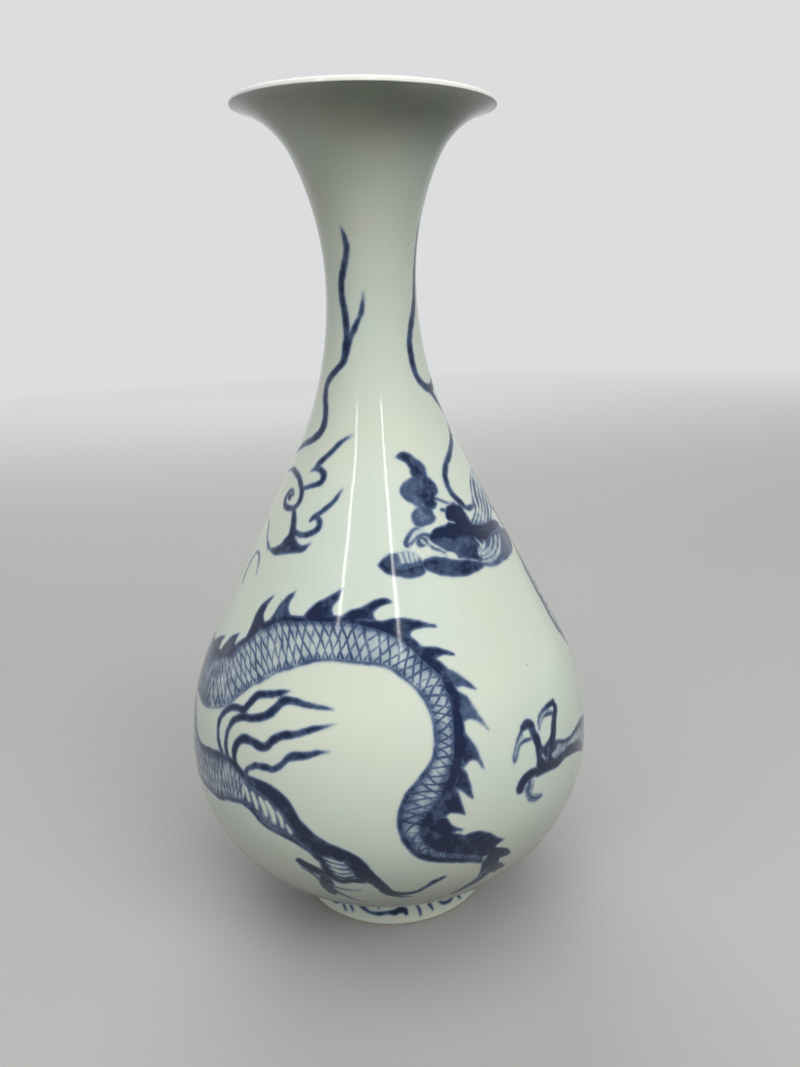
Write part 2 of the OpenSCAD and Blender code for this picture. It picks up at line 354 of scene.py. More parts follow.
# the body's two edges, from the left round the arch and down to the tail
SPINE = (
    (-88, 120.6), (-80, 120.7), (-73.6, 121), (-68.4, 121.3), (-64.4, 122.3), (-60.3, 123.7), (-57.4, 127),
    (-55, 130.3),
    (-52, 133), (-49, 137), (-45, 140.3), (-42, 142.3), (-38, 144.3), (-34, 145), (-30, 145.3), (-25, 146.4),
    (-19, 147),
    (-13.6, 147), (-8.3, 146.4), (-3.6, 145.7), (0.4, 144.3), (5, 141.4), (9, 138), (11.7, 134.3), (14.4, 131.4),
    (16.7, 128.6), (17.7, 125), (18.7, 121.4), (18.7, 115.7), (18.4, 110), (18, 104), (17.3, 99), (15.8, 94),
    (14, 89),
    (11.8, 85), (9.5, 81), (8.6, 78), (9.3, 75), (12, 72), (16, 69.5), (20, 66.5), (24, 63),
)
BREAST = (
    (-88, 101.2), (-80, 101.5), (-70, 102), (-65.5, 102.3), (-60, 104), (-55, 106.7), (-51.6, 109), (-49, 112),
    (-46, 116), (-43, 119.7), (-39.5, 122.3), (-35, 126.4), (-31, 128.6), (-27, 130.7), (-23, 132.5), (-18.3, 133.4),
    (-13.7, 133.4), (-8.3, 133), (-3, 132.5), (1, 131), (4.3, 128.2), (7.7, 124.3), (9.7, 120.7), (11, 116.4),
    (11.7, 111.4), (11.5, 106), (10.5, 101), (7.5, 96), (4, 91), (2, 86), (1.3, 80.5), (2.3, 74.5), (4.8, 69),
    (8, 65.9),
    (12, 64), (16, 62.3), (19.5, 60.5), (22, 58.5),
)
# share of the way along, spacing of the scales, lean of the two families of lines, strength of the wash at the breast
# and how much it gains towards the spine
BODY_SCALES = (
    (0, 2.1, 0.6, 1.2, 0.46, 0.1), (0.12, 2.1, 0.8, 1.2, 0.42, 0.12), (0.18, 2.6, 1.4, 0.7, 0.34, 0.12),
    (0.27, 2.8, 1.1, 0.5, 0.29, 0.12), (0.5, 3.4, 0.85, 1.0, 0.27, 0.16),
    (0.66, 3.3, 0.9, 0.7, 0.33, 0.25), (0.78, 3.0, 0.8, 0.6, 0.36, 0.34), (0.85, 3.0, 1.1, 0.2, 0.4, 0.36),
    (0.95, 3.0, 1.1, 0.15, 0.4, 0.3), (1, 3.4, 0.6, 0.4, 0.4, 0.2),
)
BACK_SCALES = ((0, 2.7, 0.8, 1.0, 0.29, 0.1), (1, 2.6, 0.75, 1.1, 0.29, 0.08))
LEG_SCALES = ((0, 2.3, 0.8, 1.1, 0.3, 0.05), (1, 2.3, 0.7, 0.9, 0.34, 0.1))
# share of the way along, share of the way across from the spine, width
SPINE_SHADE = (
    (0, 0, 2.2), (0.12, 0, 2.6), (0.19, 0, 2.2), (0.36, 0.02, 2.0), (0.48, 0.04, 2.6), (0.56, 0.06, 3.2),
    (0.66, 0.08, 3.8),
    (0.78, 0.1, 3.8), (0.83, 0.12, 5.0), (0.87, 0.1, 7.0), (0.91, 0.06, 8.5), (0.95, 0.1, 7.0), (1, 0.1, 5.0),
)
BREAST_LINE = ((0, 1, 1.0), (0.2, 1, 1.1), (0.4, 1, 1.2), (0.55, 1, 1.2), (0.7, 1, 1.3))
BREAST_SHADE = ((0.62, 1, 1.0), (0.75, 1, 1.6), (0.85, 0.98, 2.0), (0.92, 0.97, 2.4), (0.97, 0.97, 2.5), (1, 1, 1.6))
BACK_SPINE = ((0, 0, 1.6), (0.3, 0, 2.4), (0.6, 0.02, 2.6), (0.85, 0, 2.2), (1, 0, 1.8))
BACK_BREAST = ((0, 1, 2.2), (0.15, 1, 2.4), (0.25, 1, 1.4), (0.5, 1, 1.3), (1, 1, 1.0))

# fins down the spine: strength, outer edge to the tip, then the underside back to the body
FINS = (
    (0.8, ((-78, 121.5), (-76, 123), (-72.5, 125.7), (-67.6, 128)), ((-67.6, 128), (-69, 125.5), (-68, 121.5))),
    (0.9, ((-67, 122), (-65.5, 125), (-63, 129.3), (-60, 132), (-57.6, 133.2)),
     ((-57.6, 133.2), (-58.6, 130), (-57, 127), (-57.8, 125.4), (-61, 123), (-64.6, 121.8), (-67, 122))),
    (0.97, ((-54.5, 130.5), (-52.9, 133.8), (-52.3, 137), (-52.1, 141.5), (-51.1, 144.8), (-48.8, 148),
    (-45.6, 150.6)),
     ((-45.6, 150.6), (-47.6, 146.6), (-48.2, 143.3), (-46.8, 141.4), (-45.4, 139.6))),
    (0.74, ((-45, 140.5), (-43, 143.7), (-41.5, 147.7), (-39.5, 150.7), (-35.2, 154.3)),
     ((-35.2, 154.3), (-37, 149.3), (-35.5, 146), (-33, 144.6))),
    (0.8, ((-30, 145), (-27.7, 148.6), (-25, 151.4), (-21, 153.6), (-15.8, 157)),
     ((-15.8, 157), (-17.3, 153.2), (-19, 150), (-17.5, 147))),
    (0.97, ((-16, 146.8), (-13, 149.3), (-8.3, 150.7), (-5, 152.5), (-0.3, 153.6), (2.5, 152.5)),
     ((2.5, 152.5), (-1.5, 151.5), (-4.3, 149), (-3, 145.7))),
    (0.85, ((-3, 145.6), (1, 146.4), (5, 146.8), (10.4, 145.7), (17, 142.9)),
     ((17, 142.9), (11.5, 143.2), (8.3, 142.3), (7.4, 139.7))),
    (0.88, ((7.5, 139.5), (11, 137), (15, 136), (18.4, 134.3), (21, 132.7)),
     ((21, 132.7), (17.5, 133.4), (14.9, 132.6), (14, 131))),
    (0.7, ((14.5, 131), (17, 128.9), (20.4, 126.8), (23, 123.6), (25.2, 120)),
     ((25.2, 120), (22, 121.8), (19.7, 122), (18.3, 122.5))),
    (0.58, ((18.4, 122), (20, 120.6), (22.3, 117.5), (23.8, 113), (26, 106.2)),
     ((26, 106.2), (23.6, 109.8), (21, 111.3), (18.5, 110))),
    (0.74, ((18.4, 109), (19.9, 106), (21.5, 102.5), (22.3, 99), (23, 94.3)),
     ((23, 94.3), (21.2, 97.6), (19.3, 98.2), (16.8, 95))),
    (0.9, ((17, 97), (18, 95), (18.7, 91.5), (19.4, 85.3)), ((19.4, 85.3), (17.4, 87.8), (15.6, 90), (13.5, 87))),
    (0.95, ((14.5, 90.5), (15.8, 88.2), (16.4, 84.5), (17, 80.6)), ((17, 80.6), (14.4, 82), (13, 82), (10, 80))),
    (0.95, ((10, 82), (12.5, 80.5), (13.5, 77.6), (16.3, 75)), ((16.3, 75), (13.5, 75), (11.5, 73.6), (9.5, 74))),
    (0.85, ((13, 71.6), (18.3, 72.8), (20.9, 72.6), (23.6, 70.4), (25.1, 68.4), (28.2, 65.1)),
     ((28.2, 65.1), (26.2, 64.4), (24, 63.6), (19, 66))),
    (0.97, ((24.5, 63), (27.4, 61.7), (29.8, 59.5), (31.6, 56)), ((31.6, 56), (30.2, 55.7), (27.2, 57), (25, 58))),
    (0.95, ((26.5, 55), (29.4, 51.7), (31.5, 48.2)), ((31.5, 48.2), (29.7, 48), (26.6, 49.4))),
)
TAIL = (
    ("fill", "dark", 0.96, ((14, 71.7), (17.2, 70), (19.9, 67.8), (23.2, 65), (25.2, 63.9), (26.2, 60.3),
                            (27.6, 56.8),
                            (27.7, 53.9), (29.4, 48.8), (27.9, 47.4), (25.1, 53.7), (23.9, 58.6), (22.4, 61.5),
                            (20.1, 64.2), (17.6, 66.6), (14.1, 69.1), (14, 71.7))),
    ("line", "dark", 0.94, ((24.6, 61.5, 4.2), (24.8, 56.9, 5.4), (24.8, 51.7, 5.2), (23.7, 47.1, 4.0),
                            (21.2, 44.1, 3.2),
                            (18.8, 41.5, 2.4), (16.4, 39.4, 0.6))),
    ("gap", "", 0, ((22.6, 57.6, 0.7), (23.4, 60.3, 0.9))),
    ("gap", "", 0, ((24.5, 52.4, 0.7), (23.8, 50.3, 0.6))),
    ("gap", "", 0, ((23.4, 48.9, 0.5), (21.6, 46.1, 0.6), (20.0, 44.2, 0.4))),
    ("gap", "", 0, ((25.5, 50, 0.5), (25.2, 46.9, 0.5))),
)

MANE = (
    ("line", "dark", 0.93, ((-49.1, 92.0, 1.7), (-51.6, 95.2, 1.7), (-53.0, 99.7, 1.6), (-52.7, 104.1, 1.7),
                            (-49.8, 108.6, 2.0), (-46.1, 110.3, 2.1), (-43.6, 110.6, 2.1), (-42.0, 113.3, 2.1),
                            (-40.0, 116.7, 2.2), (-37.2, 118.1, 2.2), (-33.2, 119.5, 1.7), (-28.8, 121.5, 0.3))),
    ("line", "dark", 0.93, ((-46.7, 92.0, 1.7), (-48.2, 95.9, 1.7), (-48.2, 101.1, 1.7), (-46.7, 105.4, 1.9),
                            (-44.0, 107.8, 2.1), (-38.7, 109.5, 2.2), (-34.5, 112.0, 2.5), (-32.2, 115.0, 2.5),
                            (-30.4, 117.7, 2.5), (-27.2, 118.4, 2.0), (-23.6, 118.1, 1.6), (-19.2, 117.9, 1.2),
                            (-15.2, 117.6, 0.3))),
    ("line", "dark", 0.95, ((-43.8, 92.0, 1.9), (-44.4, 95.3, 2.1), (-43.4, 99.3, 2.5), (-41.6, 101.3, 2.8),
                            (-38.8, 101.7, 2.7), (-35.7, 101.1, 2.5), (-33.4, 101.7, 2.4), (-31.4, 104.5, 2.3),
                            (-28.5, 106.9, 2.2), (-24.8, 108.1, 2.0), (-20.5, 110.5, 1.5), (-17.6, 111.7, 1.0),
                            (-14.2, 113, 0.3))),
    ("line", "dark", 0.92, ((-39.3, 89.6, 1.4), (-38.8, 91.7, 1.5), (-36.4, 94.0, 1.7), (-33.2, 94.8, 1.9),
                            (-30.6, 95.0, 1.8), (-28.5, 96.9, 1.6), (-26.6, 99.6, 1.8), (-24.7, 101.0, 2.4),
                            (-21.9, 101.8, 2.0), (-18.9, 103.2, 1.2), (-15.4, 104.2, 0.3))),
)

# the left leg: edges of its scaled part, then the marks from the knee down to the claws
LEG_EDGES = (((-106, 103), (-92, 103), (-80, 100), (-72, 94), (-66.5, 88.5), (-62, 87.4), (-55.1, 89.7),
              (-50.4, 91.0),
              (-46.9, 91.6), (-43.8, 91.2), (-40.5, 89.2)),
             ((-112, 92), (-104, 80), (-94, 70), (-84, 67.5), (-76, 70), (-70, 72.1), (-63.1, 72.6), (-56.1, 73.7),
              (-51.8, 74.2), (-46.4, 76.9), (-40.5, 78.4)))
LEG = (
    ("line", "dark", 0.92, ((-106, 103, 1.0), (-92, 103, 1.2), (-80, 100, 1.3), (-72, 94, 1.3), (-66.5, 88.5, 1.4),
                            (-62, 87.4, 1.6), (-55.1, 89.7, 1.8), (-50.4, 91.0, 2.1), (-46.9, 91.6, 2.3),
                            (-43.8, 91.2, 2.3), (-41.5, 89.7, 2.4), (-38.8, 88.6, 2.4), (-36.3, 88.5, 2.4),
                            (-32.5, 88.3, 2.4), (-29.5, 87.4, 2.4), (-27.0, 85.3, 2.4), (-25.1, 82.3, 2.4),
                            (-23.8, 79.3, 2.4), (-21.9, 76.6, 2.6), (-19.4, 73.7, 2.6), (-16.6, 71.7, 2.4),
                            (-13.2, 70.0, 2.2), (-10.2, 67.7, 2.4), (-8.3, 65.3, 2.4), (-7.1, 61.7, 2.6))),
    ("line", "dark", 0.85, ((-112, 92, 1.0), (-104, 80, 1.2), (-94, 70, 1.2), (-84, 67.5, 1.2), (-76, 70, 1.2),
                            (-70, 72.1, 1.3), (-63.1, 72.6, 1.4), (-56.1, 73.7, 1.5), (-51.8, 74.2, 1.6),
                            (-46.4, 76.9, 1.6), (-42.2, 78.3, 1.5), (-38.9, 78.4, 1.5), (-36.6, 76.9, 1.5),
                            (-34.4, 74.5, 1.5), (-31.4, 72.9, 1.6), (-28.5, 72.2, 1.6), (-25.3, 71.2, 1.6),
                            (-22.7, 69.5, 1.7), (-20.3, 67.6, 1.9), (-19.0, 65.5, 2.3))),
    ("fill", "mid", 0.58, ((-41, 88.8), (-36.3, 88), (-32, 88), (-29.5, 87), (-27, 85), (-25.1, 82), (-23.8, 79),
                           (-21.9, 76.3), (-19.4, 73.4), (-16.6, 71.5), (-13.2, 69.5)),
     ((-13.2, 69.5), (-15.5, 66.8), (-19, 66), (-22.7, 69.8), (-25.3, 71.4), (-28.5, 72.4), (-31.4, 73.2),
      (-34.4, 74.8),
      (-36.6, 77), (-38.9, 78.4), (-41, 78.6)), ((-41, 78.6), (-39.8, 83), (-41, 88.8))),
    ("fill", "dark", 0.95, ((-41.5, 89.4), (-37.7, 88.4), (-32.5, 88.3), (-29.5, 87.4), (-27, 85.3), (-25.1, 82.3),
                            (-23.8, 79.3), (-21.9, 76.6), (-19.4, 73.7), (-16.6, 71.7), (-13.2, 70), (-10.2, 67.7),
                            (-13.2, 65.3), (-15.9, 67.3), (-18, 67), (-19.9, 67.7), (-22.4, 69.7), (-24.4, 72.1),
                            (-25.7, 76.8), (-28, 80.8), (-31.2, 83.7), (-34.8, 85.7), (-37.6, 86.1), (-41.5, 89.4))),
    ("gap", "", 0, ((-39.4, 84.9, 1.2), (-38.8, 83.2, 1.6), (-38.2, 80.8, 1.2))),
    ("gap", "", 0, ((-36.9, 83.8, 1.3), (-36.1, 81.8, 1.7), (-35.6, 79.4, 1.3))),
    ("gap", "", 0, ((-34.4, 83.2, 1.5), (-33.3, 80.8, 1.9), (-32.7, 78.2, 1.4))),
    ("gap", "", 0, ((-32.1, 82.6, 1.6), (-30.7, 79.6, 2.3), (-30.2, 76.4, 1.5))),
    ("gap", "", 0, ((-29, 80, 1.0), (-28.2, 78.2, 1.6), (-27.9, 75.6, 1.2))),
    ("gap", "", 0, ((-26.6, 76.4, 0.9), (-26, 75, 1.2), (-25.7, 73.8, 0.9))),
    ("fill", "dark", 0.92, ((-13.2, 70), (-10.2, 67.7), (-8.3, 65.3), (-6.8, 61.6), (-5.2, 57.9), (-5.4, 54.5),
                            (-7.7, 55.6), (-9.5, 57.2), (-10.4, 59), (-10.9, 61.9), (-12.4, 64.8), (-13.2, 70))),
    ("fill", "mid", 0.68, ((-18.2, 66.8), (-13, 66.4), (-10.8, 62), (-10.2, 58), (-13, 56.6), (-16.2, 58),
                           (-17.8, 62.5),
                           (-18.2, 66.8))),
    ("gap", "", 0, ((-17.6, 66.1, 0.8), (-15.3, 65.3, 1.2), (-12.7, 64.7, 0.8))),
    ("gap", "", 0, ((-17, 64.3, 0.7), (-14.8, 63, 1.1), (-12, 63, 0.8))),
    ("gap", "", 0, ((-16.2, 61.7, 0.8), (-14, 60.4, 1.2), (-11.6, 60.9, 0.8))),
    ("gap", "", 0, ((-15.4, 59.2, 0.6), (-13.1, 58.3, 1.0), (-10.6, 59.5, 0.6))),
    ("line", "dark", 0.97, ((-18.4, 66.4, 1.7), (-17.6, 61.8, 2.5), (-16.3, 57.5, 2.8), (-14.1, 55.2, 2.2),
                            (-11.4, 56, 2.0),
                            (-8.6, 56.3, 2.4))),
    ("line", "dark", 0.97, ((-24.2, 61.8, 2.8), (-22.2, 60, 3.6), (-19.6, 58.8, 3.7), (-17.2, 57.6, 3.5))),
    ("line", "mid", 0.55, ((-24.2, 58.9, 1.3), (-22, 57.2, 1.5), (-19.8, 53.6, 1.8))),
    ("line", "dark", 0.97, ((-18, 57, 3.8), (-18.4, 51.4, 4.8), (-17.8, 45.4, 2.6))),
    ("line", "dark", 0.85, ((-17.4, 48.7, 1.4), (-14.8, 44.9, 1.0), (-12, 41.5, 0.8), (-8.8, 39.2, 0.4))),
    ("line", "dark", 0.8, ((-16.3, 50.7, 0.9), (-13.2, 49.8, 0.7), (-9.8, 50.2, 0.4))),
    ("line", "dark", 0.95, ((-7.5, 60.9, 4.4), (-5.2, 56.2, 4.0), (-3.6, 52.6, 3.6), (-1.9, 48.6, 3.5),
                            (0, 47.5, 2.7))),
    ("line", "dark", 0.92, ((-0.8, 48, 2.6), (2.8, 47.4, 1.8), (5.4, 48.3, 1.3), (8, 51.2, 1.5), (9.7, 53.4, 1.9),
                            (12.3, 55.2, 0.8))),
    ("line", "dark", 0.85, ((-0.8, 46.4, 1.2), (2, 44.9, 1.0), (4.2, 44.4, 0.5))),
)

# the right leg: edges of its scaled part, then the paw and its claws
REACH_EDGES = (((66, 86.6), (75.1, 83.4), (84, 82), (92, 86), (99, 94)),
               ((62, 80.5), (66.7, 76.3), (74, 70), (83, 67), (93, 71), (102, 82), (108, 93)))
REACH = (
    ("line", "dark", 0.9, ((36, 101.7, 1.0), (34.4, 99.7, 0.9), (33.1, 97.3, 0.9), (32, 94.5, 0.9), (32, 92.9, 0.9))),
    ("line", "dark", 0.9, ((32, 92.9, 0.9), (32.8, 93.6, 0.8), (33.6, 95.8, 0.8), (34.6, 97.5, 0.9),
                           (36.4, 98.1, 1.0),
                           (38.6, 97.8, 1.2))),
    ("line", "mid", 0.34, ((35.9, 100.1, 1.2), (34.4, 98.4, 0.8), (32.8, 95, 0.6))),
    ("line", "dark", 0.96, ((36.7, 102.6, 2.0), (38.3, 103, 2.9), (39.6, 102.1, 2.9), (40, 99.1, 2.9),
                            (40.7, 96.3, 3.0),
                            (40.8, 92.9, 2.8), (40.8, 89.3, 2.8), (40.4, 86.1, 3.0))),
    ("line", "dark", 0.9, ((42.4, 99.2, 0.8), (42.9, 101.8, 1.0), (44.2, 103.5, 1.1), (46.5, 104.4, 1.2),
                           (49.2, 104.5, 1.4), (51.3, 104.4, 1.6))),
    ("line", "dark", 0.85, ((42.5, 99.3, 0.7), (44, 101.3, 0.8), (45.3, 102.2, 0.9), (47.3, 102.1, 1.0),
                            (49, 101.4, 1.1))),
    ("line", "mid", 0.34, ((43.4, 100.9, 0.6), (44.9, 102.8, 0.9), (47.8, 103.1, 1.1), (49.4, 102.4, 0.8))),
    ("line", "dark", 0.96, ((51, 104.2, 1.6), (51.6, 102.1, 2.0), (50.2, 99.9, 2.6), (48.9, 97.5, 2.8),
                            (48, 94.9, 2.9),
                            (46.8, 92.9, 3.2), (44.8, 90.9, 3.4), (42.8, 89, 3.3), (41.1, 86.6, 2.9))),
    ("fill", "dark", 0.88, ((41.1, 95.6), (42.9, 92.6), (45.8, 93.5), (49.4, 90.6), (48.1, 88.9), (45.6, 88),
                            (46.8, 84.6),
                            (42.3, 84.9), (39.6, 86), (39.7, 89.6), (41.1, 95.6))),
    ("gap", "", 0, ((42, 90.2, 0.9), (42.7, 88.2, 0.9))),
    ("gap", "", 0, ((43.1, 87.2, 0.7), (43.8, 88, 0.7))),
    ("gap", "", 0, ((44.4, 89.5, 0.6), (44.8, 91, 0.5))),
    ("fill", "wash", 0.3, ((47.5, 89.9), (49.3, 90.2), (52.8, 88.1), (56.3, 87.1), (61, 87), (69.7, 84.4),
                           (68.3, 77.6),
                           (60.9, 82.6), (55.6, 85.1), (51.3, 85.4), (48.5, 85.1), (46.1, 86.3), (47.5, 89.9))),
    ("line", "mid", 0.5, ((49.1, 89.4, 0.7), (47.8, 86.2, 0.6))),
    ("line", "mid", 0.5, ((51.3, 88.4, 0.7), (50.4, 85.8, 0.6))),
    ("line", "dark", 0.88, ((48, 91.2, 1.4), (52.8, 88.4, 1.2), (56.3, 87.4, 1.4), (60.9, 87.3, 1.6),
                            (67.4, 86.4, 1.8),
                            (75.1, 83.4, 1.5), (84, 82, 1.6), (92, 86, 1.8), (99, 94, 1.5))),
    ("line", "dark", 0.93, ((39.4, 85, 2.5), (42.3, 84.6, 2.9), (45.2, 84.1, 3.0), (48.4, 83.7, 3.1), (52.1, 84, 3.4),
                            (56.5, 82.9, 3.7), (61.4, 80.5, 3.8), (66.7, 76.3, 2.8), (74, 70, 2.0), (83, 67, 1.8),
                            (93, 71, 1.8), (102, 82, 1.7), (108, 93, 1.5))),
    ("line", "dark", 0.97, ((33, 82.7, 3.2), (34, 84.5, 3.2), (36.2, 85.7, 3.2), (38.9, 85.7, 2.8))),
    ("line", "mid", 0.52, ((36.4, 84.5, 2.0), (36, 81.8, 2.2), (35.6, 79.8, 2.0), (36.6, 77.5, 1.9),
                           (38.3, 75.9, 1.5),
                           (40.2, 75.7, 0.9))),
    ("line", "dark", 0.78, ((35.2, 82.6, 0.7), (34.8, 80.4, 0.8), (35.9, 77.1, 0.9), (38, 75.3, 0.9),
                            (40.4, 75.6, 0.8))),
    ("line", "dark", 0.72, ((37.7, 83.7, 0.7), (37.2, 81.4, 0.7), (36.8, 79.4, 0.7), (37.6, 77.7, 0.7),
                            (40.2, 75.9, 0.6))),
)

